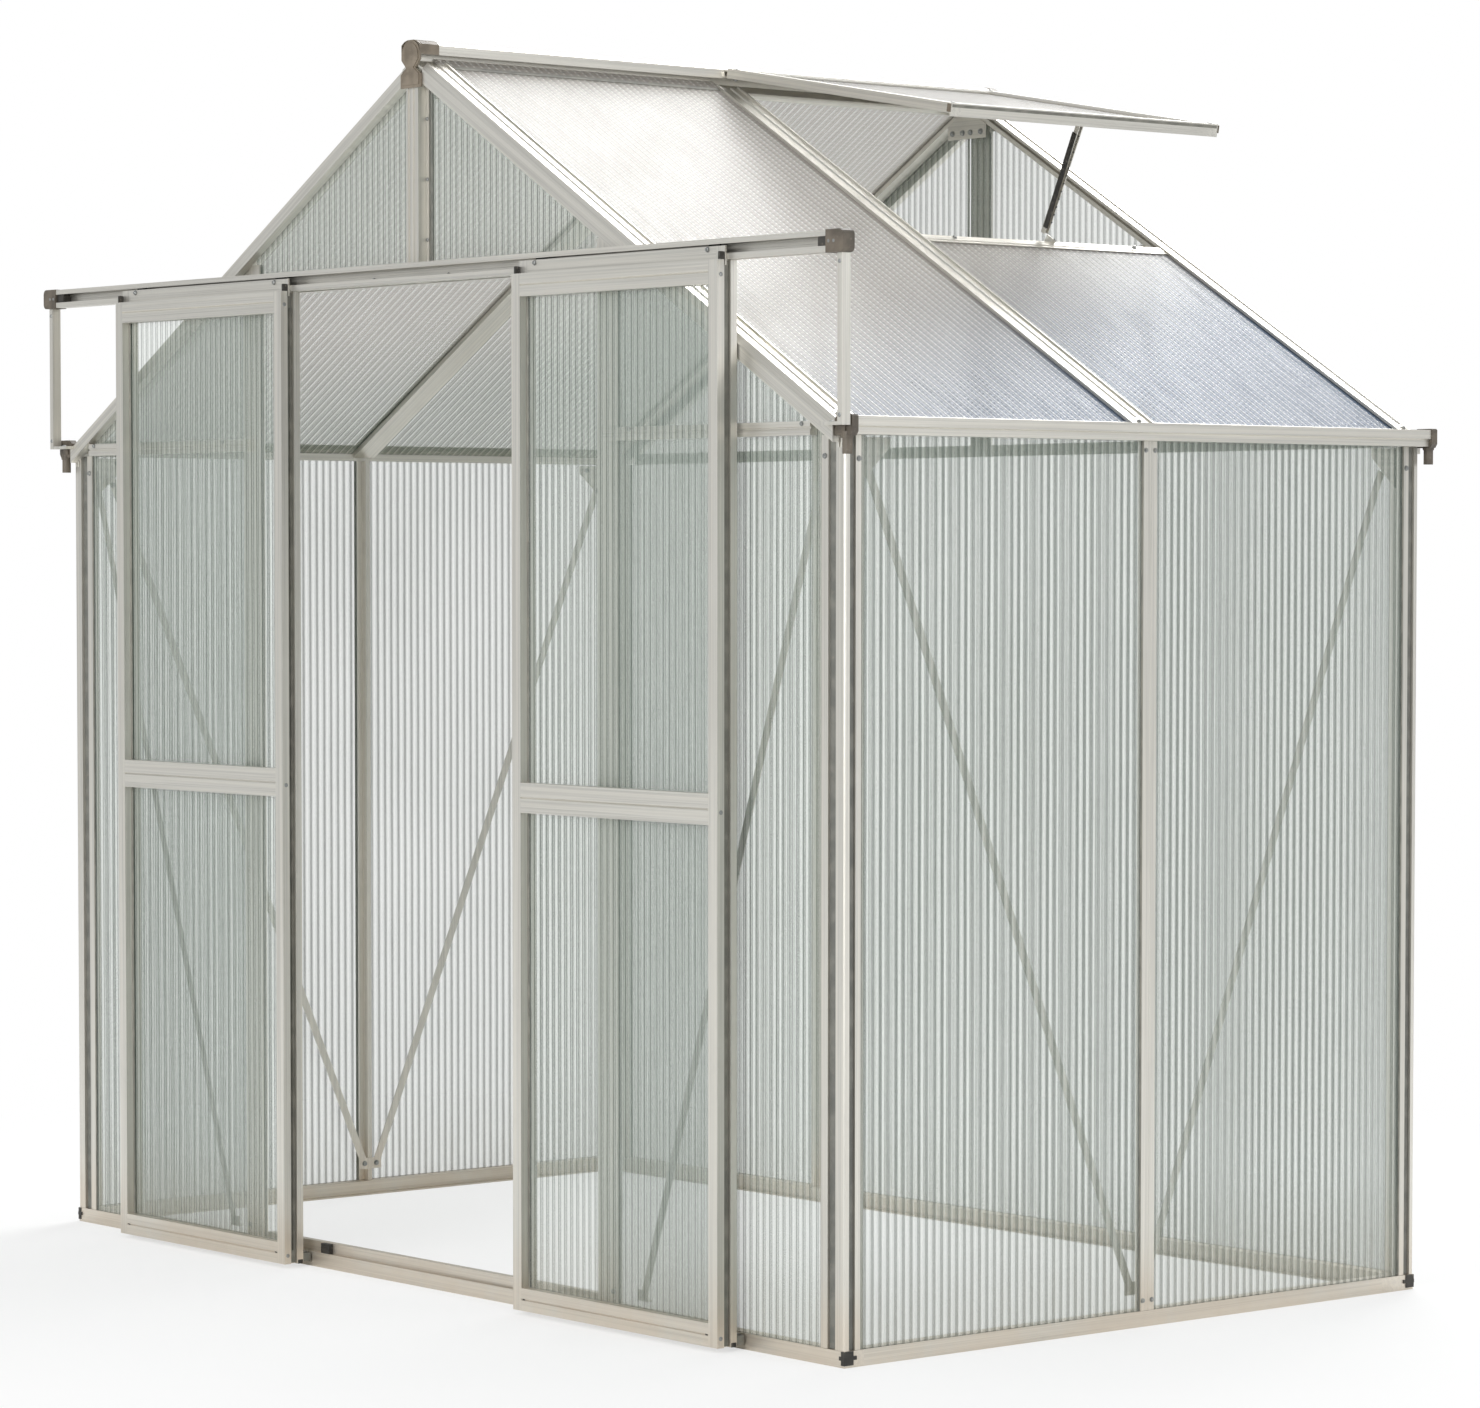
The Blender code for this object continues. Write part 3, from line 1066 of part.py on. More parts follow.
def make_sill(parts, cutters):
    front = MIDDLE + RAFTER_WIDTH / 2 + GAP
    back = BACK + GABLE_OUT - RAFTER_WIDTH - GAP
    slot_low = ROOF_PANE_RISE - 2 * GAP
    slot_high = slot_low + SLOT + 2 * GAP
    width = SILL_WIDTH
    section = [
        (0, -RAFTER_BELOW), (width + SILL_SHELF, -RAFTER_BELOW), (width + SILL_SHELF, slot_low),
        (width - SILL_BITE, slot_low), (width - SILL_BITE, slot_high),
        (width + SILL_LEDGE, slot_high), (width + SILL_LEDGE, slot_high + SILL_LIP),
        (width, slot_high + SILL_LIP), (width, SILL_TOP), (0, SILL_TOP),
    ]
    start = slope_point(SILL_FROM, 0, front)
    mesh = extrusion("vent_sill", section, start, (0, back - front, 0), SLOPE_OUT, SLOPE_UP)
    sill = place("vent_sill", mesh, aluminium("vent_sill"), parts)
    # Bracket behind the stay; the vent's ear is in front of it, so they pass each other
    near = stay_y() + STAY_WIDTH / 2 + 2 * GAP
    top = SILL_TOP + BRACKET_RISE
    plate = [(BRACKET_NOTCH, -RAFTER_BELOW), (BRACKET_TO, -RAFTER_BELOW), (BRACKET_TO, top),
             (BRACKET_FROM, top), (BRACKET_FROM, SILL_TOP - BRACKET_SLANT),
             (BRACKET_NOTCH, SILL_TOP - 2 * BRACKET_SLANT)]
    mesh = extrusion("sill_bracket", plate, slope_point(SILL_FROM, 0, near), (0, CLIP_WALL, 0),
                     SLOPE_OUT, SLOPE_UP)
    combine(sill, mesh, "UNION", cutters)


def stay_y():
    return FOOT_SHIFT + STAY_Y


def make_vent(parts, cutters):
    front, back = vent_span()
    axis = vent_axis()
    bar = VENT_BAR_WIDTH
    half = VENT_BAR_HEIGHT / 2
    slot = SLOT / 2
    corner = VENT_CHAMFER
    section = [(0, -half), (0, half), (bar - corner, half), (bar, half - corner), (bar, slot),
               (bar - VENT_BAR_SLOT, slot), (bar - VENT_BAR_SLOT, -slot), (bar, -slot),
               (bar, corner - half), (bar - corner, -half)]
    length = VENT_LENGTH - VENT_START
    along = (axis - slope_point(0, 0)).dot(SLOPE_OUT) + VENT_START + length / 2
    centre = slope_point(along, VENT_AXIS_RISE, (front + back) / 2)
    mesh = mitred_ring("vent_frame", section, length, back - front)
    columns = (SLOPE_OUT, Y_AXIS, SLOPE_UP, centre)
    matrix = Matrix([[column[row] for column in columns] for row in range(3)] + [[0, 0, 0, 1]])
    mesh.transform(matrix)
    frame = place("vent_frame", opened(mesh), aluminium("vent_frame"), parts, axis)

    # Hook along the top edge: a bead in the ridge's groove on a thin neck
    middle_y = axis.y
    span = back - front - 2 * VENT_HOOK_SHY
    bead = rod("vent_bead", (axis.x, middle_y, axis.z), Y_AXIS, VENT_BEAD, span, 16)
    combine(frame, bead, "UNION", cutters)
    neck = extrusion("vent_neck", [
        (0, -VENT_NECK / 2), (VENT_START + 2 * JOIN, -VENT_NECK / 2),
        (VENT_START + 2 * JOIN, VENT_NECK / 2), (0, VENT_NECK / 2),
    ], (axis.x, middle_y - span / 2, axis.z), (0, span, 0), SLOPE_OUT, SLOPE_UP)
    combine(frame, opened(neck), "UNION", cutters)
    # Drip lip under the bottom bar
    outer = along + length / 2
    low = VENT_AXIS_RISE - half - VENT_DRIP
    high = VENT_AXIS_RISE - half + 2 * JOIN
    drip = extrusion("vent_drip", [
        (outer - VENT_DRIP_WIDTH, low), (outer, low), (outer, high), (outer - VENT_DRIP_WIDTH, high),
    ], slope_point(0, 0, front), (0, back - front, 0), SLOPE_OUT, SLOPE_UP)
    combine(frame, opened(drip), "UNION", cutters)

    inset = VENT_BAR_WIDTH - VENT_BAR_SLOT + GAP
    low = -PANE / 2
    pane = extrusion("vent_pane", [
        (along - length / 2 + inset, VENT_AXIS_RISE + low),
        (along + length / 2 - inset, VENT_AXIS_RISE + low),
        (along + length / 2 - inset, VENT_AXIS_RISE - low),
        (along - length / 2 + inset, VENT_AXIS_RISE - low),
    ], slope_point(0, 0, front + inset), (0, back - front - 2 * inset, 0), SLOPE_OUT, SLOPE_UP)
    place("vent_pane", opened(pane), glazing("vent_pane"), parts, axis)
    return frame, along + length / 2


def make_stay(vent, outer, parts, cutters):
    """Perforated channel hinged under the vent's bottom bar, and the ear that carries it."""
    axis = vent_axis()
    pivot = slope_point(outer - STAY_PIVOT_UP, STAY_RISE, stay_y())
    turn = Matrix.Rotation(-VENT_OPEN, 4, "Y")
    pivot = axis + turn.to_3x3() @ (pivot - axis)
    down = Vector((math.cos(STAY_LEAN), 0, math.sin(STAY_LEAN)))
    side = Vector((-down.z, 0, down.x))
    half = STAY_WIDTH / 2
    wall = STAY_WALL
    deep = STAY_DEPTH
    section = [(-half, -deep / 2), (half, -deep / 2), (half, deep / 2), (half - wall, deep / 2),
               (half - wall, wall - deep / 2), (wall - half, wall - deep / 2),
               (wall - half, deep / 2), (-half, deep / 2)]
    name = "vent_stay"
    start = pivot - down * STAY_HEAD
    mesh = extrusion(name, section, start, down * (STAY_LENGTH + STAY_HEAD), Y_AXIS, side)
    stay = place(name, mesh, aluminium(name), parts, pivot)
    pitch = (STAY_LENGTH - 2 * STAY_HOLE_MARGIN) / (STAY_HOLES - 1)
    for i in range(STAY_HOLES):
        at = pivot + down * (STAY_HOLE_MARGIN + i * pitch)
        hole = rod("hole", at, side, STAY_HOLE, 2 * deep, 10)
        combine(stay, hole, "DIFFERENCE", cutters)
    # Clip: an ear under the vent's bottom bar, in front of the stay
    along = outer - STAY_PIVOT_UP
    near = half + 2 * GAP
    ear = extrusion("stay_ear", [
        (along - EAR_HALF, STAY_RISE - EAR_BELOW), (along + EAR_HALF / 2, STAY_RISE - EAR_BELOW),
        (along + EAR_TOP_RUN, VENT_AXIS_RISE - EAR_SINK),
        (along - EAR_HALF, VENT_AXIS_RISE - EAR_SINK),
    ], slope_point(0, 0, stay_y() - near - CLIP_WALL), (0, CLIP_WALL, 0), SLOPE_OUT, SLOPE_UP)
    combine(vent, opened(ear), "UNION", cutters)


# Braces
def make_braces(parts, cutters):
    """On each side wall two flat bars run from the top corners to the mullion's foot."""
    seat = HALF_W - (SLOT_FROM + SLOT + WALL + MULLION_STEM) - GAP
    foot = Vector((0, MIDDLE, BASE_HEIGHT + BRACE_FOOT_RISE))
    for side, x_sign in (("left", -1), ("right", 1)):
        name = "side_brace_" + side
        low_x = seat - BRACE_THICK if x_sign > 0 else -seat
        piece = None
        for y_corner, y_sign in ((FRONT + BRACE_CORNER, -1), (BACK - BRACE_CORNER, 1)):
            high = Vector((0, y_corner, EAVE_UNDERSIDE - BRACE_HEAD_DROP))
            low = foot + Vector((0, y_sign * BRACE_SPREAD, 0))
            run = high - low
            across = run.normalized().cross(X_AXIS)
            half = BRACE_WIDTH / 2
            outline = [(-half, 0), (half, 0), (half, BRACE_THICK), (-half, BRACE_THICK)]
            start = low + Vector((low_x, 0, 0))
            mesh = extrusion(name, outline, start, run, across, X_AXIS)
            if piece is None:
                piece = place(name, mesh, aluminium(name), parts)
            else:
                combine(piece, mesh, "UNION", cutters)
        gusset = box("gusset", (low_x, foot.y - GUSSET_HALF, foot.z - GUSSET_BELOW),
                     (low_x + BRACE_THICK, foot.y + GUSSET_HALF, foot.z + GUSSET_ABOVE))
        combine(piece, gusset, "UNION", cutters)


def build():
    for old in list(bpy.data.objects):
        bpy.data.objects.remove(old, do_unlink=True)
    parts = new_collection("greenhouse")
    cutters = new_collection("greenhouse_cutters")
    make_base(parts, cutters)
    make_posts(parts)
    make_mullions(parts)
    make_jambs(parts, cutters)
    make_front_king(parts, cutters)
    make_back_frame(parts, cutters)
    make_rafters(parts)
    make_ridge(parts, cutters)
    make_ridge_caps(parts, cutters)
    make_gutters(parts)
    make_gutter_caps(parts, cutters)
    make_rail(parts)
    for side, x_sign in (("left", -1), ("right", 1)):
        make_door(side, x_sign, parts, cutters)
        make_rollers(side, x_sign, parts)
    make_gable_panes(parts)
    make_side_panes(parts)
    make_roof_panes(parts)
    make_sill(parts, cutters)
    vent, outer = make_vent(parts, cutters)
    make_stay(vent, outer, parts, cutters)
    make_braces(parts, cutters)
    for cutter in cutters.objects:
        cutter.hide_render = True
        cutter.display_type = "WIRE"


build()
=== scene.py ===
# Small glazed greenhouse: finishes, sheets, fittings and the studio round it.
# Metres, +Z up. +X is to the right of someone who faces the doors, -Y is the front.
import json
import math

import bmesh
import bpy
from mathutils import Matrix, Vector


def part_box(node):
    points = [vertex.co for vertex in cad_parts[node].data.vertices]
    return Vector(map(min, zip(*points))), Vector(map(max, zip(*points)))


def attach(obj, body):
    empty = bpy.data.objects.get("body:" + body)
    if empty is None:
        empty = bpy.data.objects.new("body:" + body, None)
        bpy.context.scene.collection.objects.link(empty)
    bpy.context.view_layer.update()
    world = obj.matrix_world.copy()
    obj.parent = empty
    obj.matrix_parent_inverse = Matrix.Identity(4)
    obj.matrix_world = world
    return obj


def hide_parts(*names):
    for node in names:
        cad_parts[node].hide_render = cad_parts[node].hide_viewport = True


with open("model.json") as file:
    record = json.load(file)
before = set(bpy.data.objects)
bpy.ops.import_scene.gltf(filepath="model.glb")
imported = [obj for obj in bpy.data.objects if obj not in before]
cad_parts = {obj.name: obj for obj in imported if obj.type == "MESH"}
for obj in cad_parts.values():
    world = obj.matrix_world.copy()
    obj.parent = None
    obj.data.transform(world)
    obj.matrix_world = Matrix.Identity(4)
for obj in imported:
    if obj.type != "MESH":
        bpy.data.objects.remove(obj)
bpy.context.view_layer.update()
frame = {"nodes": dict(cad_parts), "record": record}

nodes = frame["nodes"]
body_of_node = {
    node: body
    for body, members in frame["record"]["behaviour"]["bodies"].items()
    for node in members
}

X = Vector((1, 0, 0))
Y = Vector((0, 1, 0))
Z = Vector((0, 0, 1))
MIDDLE = Vector((0, 0, 0.9))
PITCH = math.radians(30.4)
VENT_OPEN = math.radians(20.6)
VENT_TILT = PITCH - VENT_OPEN
SLOPE = {
    "right": Vector((math.cos(PITCH), 0, -math.sin(PITCH))),
    "left": Vector((-math.cos(PITCH), 0, -math.sin(PITCH))),
}
VENT_DOWN = Vector((math.cos(VENT_TILT), 0, -math.sin(VENT_TILT)))
VENT_PIVOT = Vector((0.016, 0, 1.96662))

# Ribbed sheets: from web to web, height and profile of a rib, thickness, and from dash to dash
FLUTE = 0.015
FLUTE_RISE = 0.0006
RIB_PROFILE = (0.0, 0.7, 1.0, 0.7)
SHEET = 0.0034
DASH_STEP = 0.0095

# Edges that bend more than this many degrees stay sharp
CREASE = 35


# Shader maths

class Wire:
    """A shader value that takes part in plain arithmetic."""

    def __init__(self, graph, socket):
        self.graph = graph
        self.socket = socket

    def apply(self, operation, *values):
        return self.graph.node("ShaderNodeMath", {"operation": operation}, *values)

    def __add__(self, other):
        return self.apply("ADD", self, other)

    def __radd__(self, other):
        return self.apply("ADD", other, self)

    def __sub__(self, other):
        return self.apply("SUBTRACT", self, other)

    def __rsub__(self, other):
        return self.apply("SUBTRACT", other, self)

    def __mul__(self, other):
        return self.apply("MULTIPLY", self, other)

    def __truediv__(self, other):
        return self.apply("DIVIDE", self, other)

    def __gt__(self, other):
        return self.apply("GREATER_THAN", self, other)

    def __lt__(self, other):
        return self.apply("LESS_THAN", self, other)

    def fraction(self):
        return self.apply("FRACT", self)

    def size(self):
        return self.apply("ABSOLUTE", self)

    def ramp(self, low, high):
        """Nought below low, one above high, smooth between."""
        settings = {"interpolation_type": "SMOOTHSTEP"}
        return self.graph.node("ShaderNodeMapRange", settings, self, low, high, 0.0, 1.0)


class Graph:
    """A tree of shader nodes, with the method that makes them."""

    def __init__(self, tree):
        self.tree = tree

    def node(self, kind, settings, *values, output=0, **named):
        """Adds a node, sets it up, then gives its sockets their values or links."""
        made = self.tree.nodes.new(kind)
        for key, value in settings.items():
            setattr(made, key, value)
        for key, value in [*enumerate(values), *named.items()]:
            self.feed(made.inputs[key], value)
        return Wire(self, made.outputs[output])

    def feed(self, socket, value):
        if isinstance(value, Wire):
            self.tree.links.new(value.socket, socket)
        elif value is not None:
            socket.default_value = value

    def place(self, cell=(1, 1, 1), along=Z):
        """Object coordinates, counted in cells whose third edge lies along a direction."""
        here = self.node("ShaderNodeTexCoord", {}, output="Object")
        turn = Vector(along).to_track_quat("Z", "Y").to_euler()
        settings = {"vector_type": "TEXTURE"}
        return self.node("ShaderNodeMapping", settings, here, Rotation=turn, Scale=cell)

    def axis(self, direction):
        """How far along a direction a point lies."""
        here = self.node("ShaderNodeTexCoord", {}, output="Object")
        settings = {"operation": "DOT_PRODUCT"}
        return self.node("ShaderNodeVectorMath", settings, here, tuple(direction), output="Value")

    def noise(self, where, scale, detail=2.0, roughness=0.5):
        return self.node("ShaderNodeTexNoise", {}, where, Scale=scale, Detail=detail,
                         Roughness=roughness)

    def cells(self, where, scale):
        return self.node("ShaderNodeTexVoronoi", {}, where, Scale=scale, output="Distance")

    def mix(self, share, first, second):
        """A colour between two others."""
        settings = {"blend_type": "MIX"}
        return self.node("ShaderNodeMixRGB", settings, share, first, second)

    def bump(self, height, strength, distance):
        return self.node("ShaderNodeBump", {}, Height=height, Strength=strength,
                         Distance=distance, output="Normal")


class Finish(Graph):
    """One material."""

    def __init__(self, name):
        self.material = bpy.data.materials.new(name)
        self.material.use_nodes = True
        super().__init__(self.material.node_tree)
        self.shader = self.tree.nodes["Principled BSDF"]
        self.out = self.tree.nodes["Material Output"]

    def give(self, **sockets):
        """Sets or links the shader's own sockets; an underscore stands for a space."""
        for key, value in sockets.items():
            self.feed(self.shader.inputs[key.replace("_", " ")], value)
        return self.material


def tone(red, green, blue):
    """A colour as it looks on a screen, 0 to 255, turned into light."""
    parts = []
    for value in (red, green, blue):
        value /= 255
        parts.append(value / 12.92 if value <= 0.04045 else ((value + 0.055) / 1.055) ** 2.4)
    return (*parts, 1)


# Finishes: their colours, weights and scales were matched to the photograph

# Cells of the metal's noise: thin across the bar, long down it
DIE_LINE = (0.0011, 0.0011, 0.35)
BAND = (0.006, 0.006, 0.9)


def drawn_aluminium(name, along, other=None, *where):
    """Mill aluminium: fine die lines along the bar, dull patches, light wear, a warm foot.

    Inside the boxes of where, each a set of (axis, low, high), the bars run along other.
    """
    f = Finish(name)
    die_lines = f.noise(f.place(DIE_LINE, along), 1.0, 3.0)
    bands = f.noise(f.place(BAND, along), 1.0, 2.0)
    inside = 0.0
    for box in where:
        share = 1.0
        for axis, low, high in box:
            reach = f.axis(axis).size()
            share = (reach > low) * (reach < high) * share
        inside = share + inside
    if where:
        die_cross = f.noise(f.place(DIE_LINE, other), 1.0, 3.0)
        band_cross = f.noise(f.place(BAND, other), 1.0, 2.0)
        die_lines = die_lines + (die_cross - die_lines) * inside
        bands = bands + (band_cross - bands) * inside
    patches = f.noise(f.place(), 9.0, 4.0, 0.6)
    specks = f.cells(f.place((1, 1, 8), along), 420.0)
    scuffs = (0.16 - specks).ramp(0.0, 0.1) * patches.ramp(0.52, 0.66)
    foot = (0.16 - f.axis(Z)).ramp(0.0, 0.15) * patches.ramp(0.1, 0.6)
    shine = f.mix(die_lines.ramp(0.35, 0.65), tone(203, 200, 192), tone(222, 219, 211))
    shine = f.mix(bands.ramp(0.4, 0.65) * 0.6, shine, tone(230, 226, 216))
    shine = f.mix(patches.ramp(0.5, 0.8) * 0.25, shine, tone(194, 192, 186))
    shine = f.mix(scuffs * 0.6, shine, tone(240, 240, 238))
    shine = f.mix(foot * 0.45, shine, tone(222, 203, 180))
    dull = 0.30 + die_lines * 0.1 + patches.ramp(0.45, 0.8) * 0.08 + foot * 0.1
    relief = die_lines * 0.8 + bands * 0.5
    return f.give(
        Base_Color=shine,
        Metallic=0.82,
        Roughness=dull,
        Normal=f.bump(relief, 0.5, 0.0004),
    )


def zinc_plated(name):
    """Zinc-plated bolts: bluish bright metal, mottled, with duller hollows."""
    f = Finish(name)
    spangle = f.cells(f.place(), 900.0)
    bloom = f.noise(f.place(), 160.0, 3.0)
    turned = f.noise(f.place((0.02, 0.02, 0.0005)), 1.0, 2.0)
    shade = f.mix(spangle.ramp(0.1, 0.7), tone(176, 178, 178), tone(152, 153, 152))
    shade = f.mix(bloom.ramp(0.5, 0.75) * 0.5, shade, tone(196, 194, 184))
    return f.give(
        Base_Color=shade,
        Metallic=0.95,
        Roughness=0.28 + bloom * 0.2,
        Normal=f.bump(turned * 0.6 + bloom * 0.4, 0.25, 0.0002),
    )


def moulded_plastic(name, light, dark):
    """Moulded plastic with a spark-eroded grain, faint flow marks and a little dust."""
    f = Finish(name)
    grain = f.noise(f.place(), 1500.0, 2.0)
    flow = f.noise(f.place(), 38.0, 4.0)
    dust = f.noise(f.place(), 150.0, 3.0)
    shade = f.mix(flow.ramp(0.35, 0.7), dark, light)
    shade = f.mix(dust.ramp(0.58, 0.78) * 0.35, shade, tone(150, 142, 128))
    return f.give(
        Base_Color=shade,
        Roughness=0.42 + grain * 0.14 + dust.ramp(0.5, 0.8) * 0.12,
        Normal=f.bump(grain + flow * 0.3, 0.3, 0.0002),
    )


def fluted_sheet(name, across, down, colours, cover, cross=0.0, twin=0.0, dull=0.10, sheen=0.5):
    """Clear ribbed polycarbonate: a dark line at every web, a painted highlight on the flank
    after it and painted shade on the flank before the next web.

    cover is how much a plain spot hides, cross the share of the dashes that cross the ribs,
    twin that of a second line beside each web. Sheets with dashes get a painted warm reflection
    towards the ridge.
    """
    body, line, glint = colours
    f = Finish(name)
    sway = f.noise(f.place(), 5.0, 1.0) - 0.5
    rib = (f.axis(across) / FLUTE + sway * 0.08).fraction()
    web = ((rib - 0.5).size() - 0.36).ramp(0.0, 0.05)
    if twin:
        web = web + (0.09 - (rib - 0.5).size()).ramp(0.0, 0.05) * twin
    # flank is painted shade on one side of every rib, bright a painted highlight on the other;
    # both also change how much the sheet hides
    flank = (0.17 - (rib - 0.74).size()).ramp(0.0, 0.17)
    bright = (0.10 - (rib - 0.22).size()).ramp(0.0, 0.08)
    streak = f.noise(f.place((0.0016, 0.0016, 0.06), down), 1.0, 2.0)
    broken = f.noise(f.place((0.004, 0.004, 0.004)), 1.0, 2.0)
    dash = 0.0
    if cross:
        step = (f.axis(down) / DASH_STEP + rib * 0.6).fraction()
        dash = (0.24 - (step - 0.5).size()).ramp(0.0, 0.10) * broken.ramp(0.2, 0.5) * cross
        dash = dash * (0.42 - (rib - 0.5).size()).ramp(0.0, 0.10)
    cloud = f.noise(f.place(), 2.3, 3.0)
    specks = f.cells(f.place(), 330.0)
    drops = (0.12 - specks).ramp(0.0, 0.05) * f.noise(f.place(), 31.0, 2.0).ramp(0.45, 0.7)
    dust = f.noise(f.place((0.017, 0.017, 0.11), down), 1.0, 4.0)
    low = (0.22 - f.axis(Z)).ramp(0.0, 0.2)
    # Painted reflection: sheets with dashes, and their lines, turn warm white towards the ridge
    if cross:
        high = (f.axis(Z) - f.axis(Y) * 0.22 - 1.39).ramp(0.0, 0.25)
        body = f.mix(high, body, tone(246, 240, 230))
        line = f.mix(high, line, tone(158, 151, 143))
    shade = f.mix(streak.ramp(0.35, 0.65) * (0.5 - cross * 0.25), body, glint)
    shade = f.mix(flank * 0.45, shade, line)
    if cross:
        shade = f.mix(dash * 0.85, shade, line)
    shade = f.mix(web, shade, line)
    shade = f.mix(bright * 0.9, shade, glint)
    shade = f.mix(drops, shade, tone(248, 250, 246))
    shade = f.mix(low * dust * 0.5, shade, tone(168, 158, 138))
    hide = cover + web * (0.36 + cross * 0.30) + flank * 0.10 + bright * 0.14 + dash * 0.40
    hide = hide + (cloud - 0.5) * 0.12 + (streak - 0.5) * 0.14 + drops * 0.5 + low * dust * 0.12
    relief = bright * 0.4 - web - flank * 0.5
    return f.give(
        Base_Color=shade,
        Alpha=hide,
        Roughness=dull + dust.ramp(0.4, 0.8) * 0.12 + broken * 0.05,
        Normal=f.bump(relief, 0.7, 0.0009),
        IOR=1.58,
        Specular_IOR_Level=sheen,
    )


# Colours of the sheets: body, line at a web, and the colour of the painted highlight
GREEN = (tone(198, 208, 198), tone(84, 98, 88), tone(238, 243, 236))
# The right slope and the vent are painted blue as a painted reflection of the sky, with a painted
# highlight as the last colour
SKY_REFLECTION_BLUE = (tone(112, 146, 186), tone(52, 66, 86), tone(250, 250, 248))
# Painted shade: the left slope's sheet gets its own darker colours because it lies in shade
SHADED = (tone(192, 202, 182), tone(82, 90, 78), tone(240, 244, 234))
ROOF = {"dull": 0.30, "sheen": 0.22}

# Where a frame's bars change direction, as distances from the middle along each axis
DOOR_BAR = (X, 0.331, 0.784)
metal = {
    "x": drawn_aluminium("aluminium_along_x", X),
    "y": drawn_aluminium("aluminium_along_y", Y),
    "z": drawn_aluminium("aluminium_along_z", Z),
    "left": drawn_aluminium("aluminium_down_left_slope", SLOPE["left"]),
    "right": drawn_aluminium("aluminium_down_right_slope", SLOPE["right"]),
    "vent": drawn_aluminium("aluminium_of_vent", VENT_DOWN, Y, ((Y, 0.0435, 0.5915),)),
    "base": drawn_aluminium("aluminium_of_base", Y, X, ((Y, 0.545, 0.62),)),
    "doors": drawn_aluminium(
        "aluminium_of_doors", Z, X,
        (DOOR_BAR, (Z, 0.0, 0.042)),
        (DOOR_BAR, (Z, 0.774, 0.820)),
        (DOOR_BAR, (Z, 1.5617, 1.62)),
    ),
    "jambs": drawn_aluminium("aluminium_of_jambs", Z, X, ((X, 0.476, 1.0), (Z, 1.335, 1.372))),
    "gables": drawn_aluminium(
        "aluminium_of_gables", Z, X, ((Z, 1.325, 1.372),), ((Z, 1.590, 1.630),),
    ),
}
taupe = moulded_plastic("taupe_moulding", tone(130, 119, 104), tone(104, 94, 80))
umber = moulded_plastic("umber_moulding", tone(104, 95, 83), tone(78, 71, 62))
black = moulded_plastic("black_moulding", tone(58, 55, 50), tone(40, 38, 35))
pale = moulded_plastic("pale_moulding", tone(222, 220, 212), tone(204, 201, 192))
rubber = moulded_plastic("seal_rubber", tone(136, 134, 124), tone(112, 111, 103))
# Dark strips that stand for painted shade in the grooves
painted_groove_shade = moulded_plastic("groove_shade_strip", tone(124, 123, 116), tone(102, 102, 97))
steel = zinc_plated("zinc_plated_steel")
sheet_front = fluted_sheet("sheet_across_front", X, Z, GREEN, cover=0.17)
sheet_side = fluted_sheet("sheet_across_side", Y, Z, GREEN, cover=0.17)
sheet_roof = {
    "left": fluted_sheet("sheet_left_slope", Y, SLOPE["left"], SHADED, cover=0.27, cross=0.3,
                         twin=0.8, **ROOF),
    "right": fluted_sheet("sheet_right_slope", Y, SLOPE["right"], SKY_REFLECTION_BLUE, cover=0.36, cross=1.0,
                          **ROOF),
    "vent": fluted_sheet("sheet_vent", Y, VENT_DOWN, SKY_REFLECTION_BLUE, cover=0.30, cross=1.0, **ROOF),
}


# Nodes whose metal doesn't simply run along their longest side
RUNS = (
    ("rafter_front_left", "left"), ("rafter_middle_left", "left"), ("rafter_back_left", "left"),
    ("rafter", "right"), ("vent_frame", "vent"), ("vent_stay", "z"), ("base_frame", "base"),
    ("left_door_frame", "doors"), ("right_door_frame", "doors"), ("door_jamb", "jambs"),
    ("king_post_front", "gables"), ("back_gable_frame", "gables"),
)


def run_of(node):
    """Which way the metal of a node was drawn."""
    for start, run in RUNS:
        if node.startswith(start):
            return run
    low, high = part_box(node)
    reach = high - low
    return "xyz"[max(range(3), key=lambda i: reach[i])]


for node, item in nodes.items():
    item.data.materials.clear()
    if node.startswith("ridge_cap"):
        item.data.materials.append(taupe)
    elif "_cap_" in node:
        item.data.materials.append(umber)
    elif "roller" in node:
        item.data.materials.append(black)
    elif "pane" not in node:
        item.data.materials.append(metal[run_of(node)])


# Making pieces

def finish_piece(name, bm, body, material):
    """Turns a finished bmesh into a piece that rides on a body."""
    bmesh.ops.recalc_face_normals(bm, faces=bm.faces)
    for face in bm.faces:
        face.smooth = True
    limit = math.radians(CREASE)
    for edge in bm.edges:
        if len(edge.link_faces) == 2 and edge.calc_face_angle() > limit:
            edge.smooth = False
    mesh = bpy.data.meshes.new(name)
    bm.to_mesh(mesh)
    bm.free()
    mesh.materials.append(material)
    piece = bpy.data.objects.new(name, mesh)
    bpy.context.scene.collection.objects.link(piece)
    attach(piece, body)
    return piece


def add_form(bm, made):
    """Moves a finished form into another bmesh."""
    mesh = bpy.data.meshes.new("form")
    made.to_mesh(mesh)
    made.free()
    bm.from_mesh(mesh)
    bpy.data.meshes.remove(mesh)


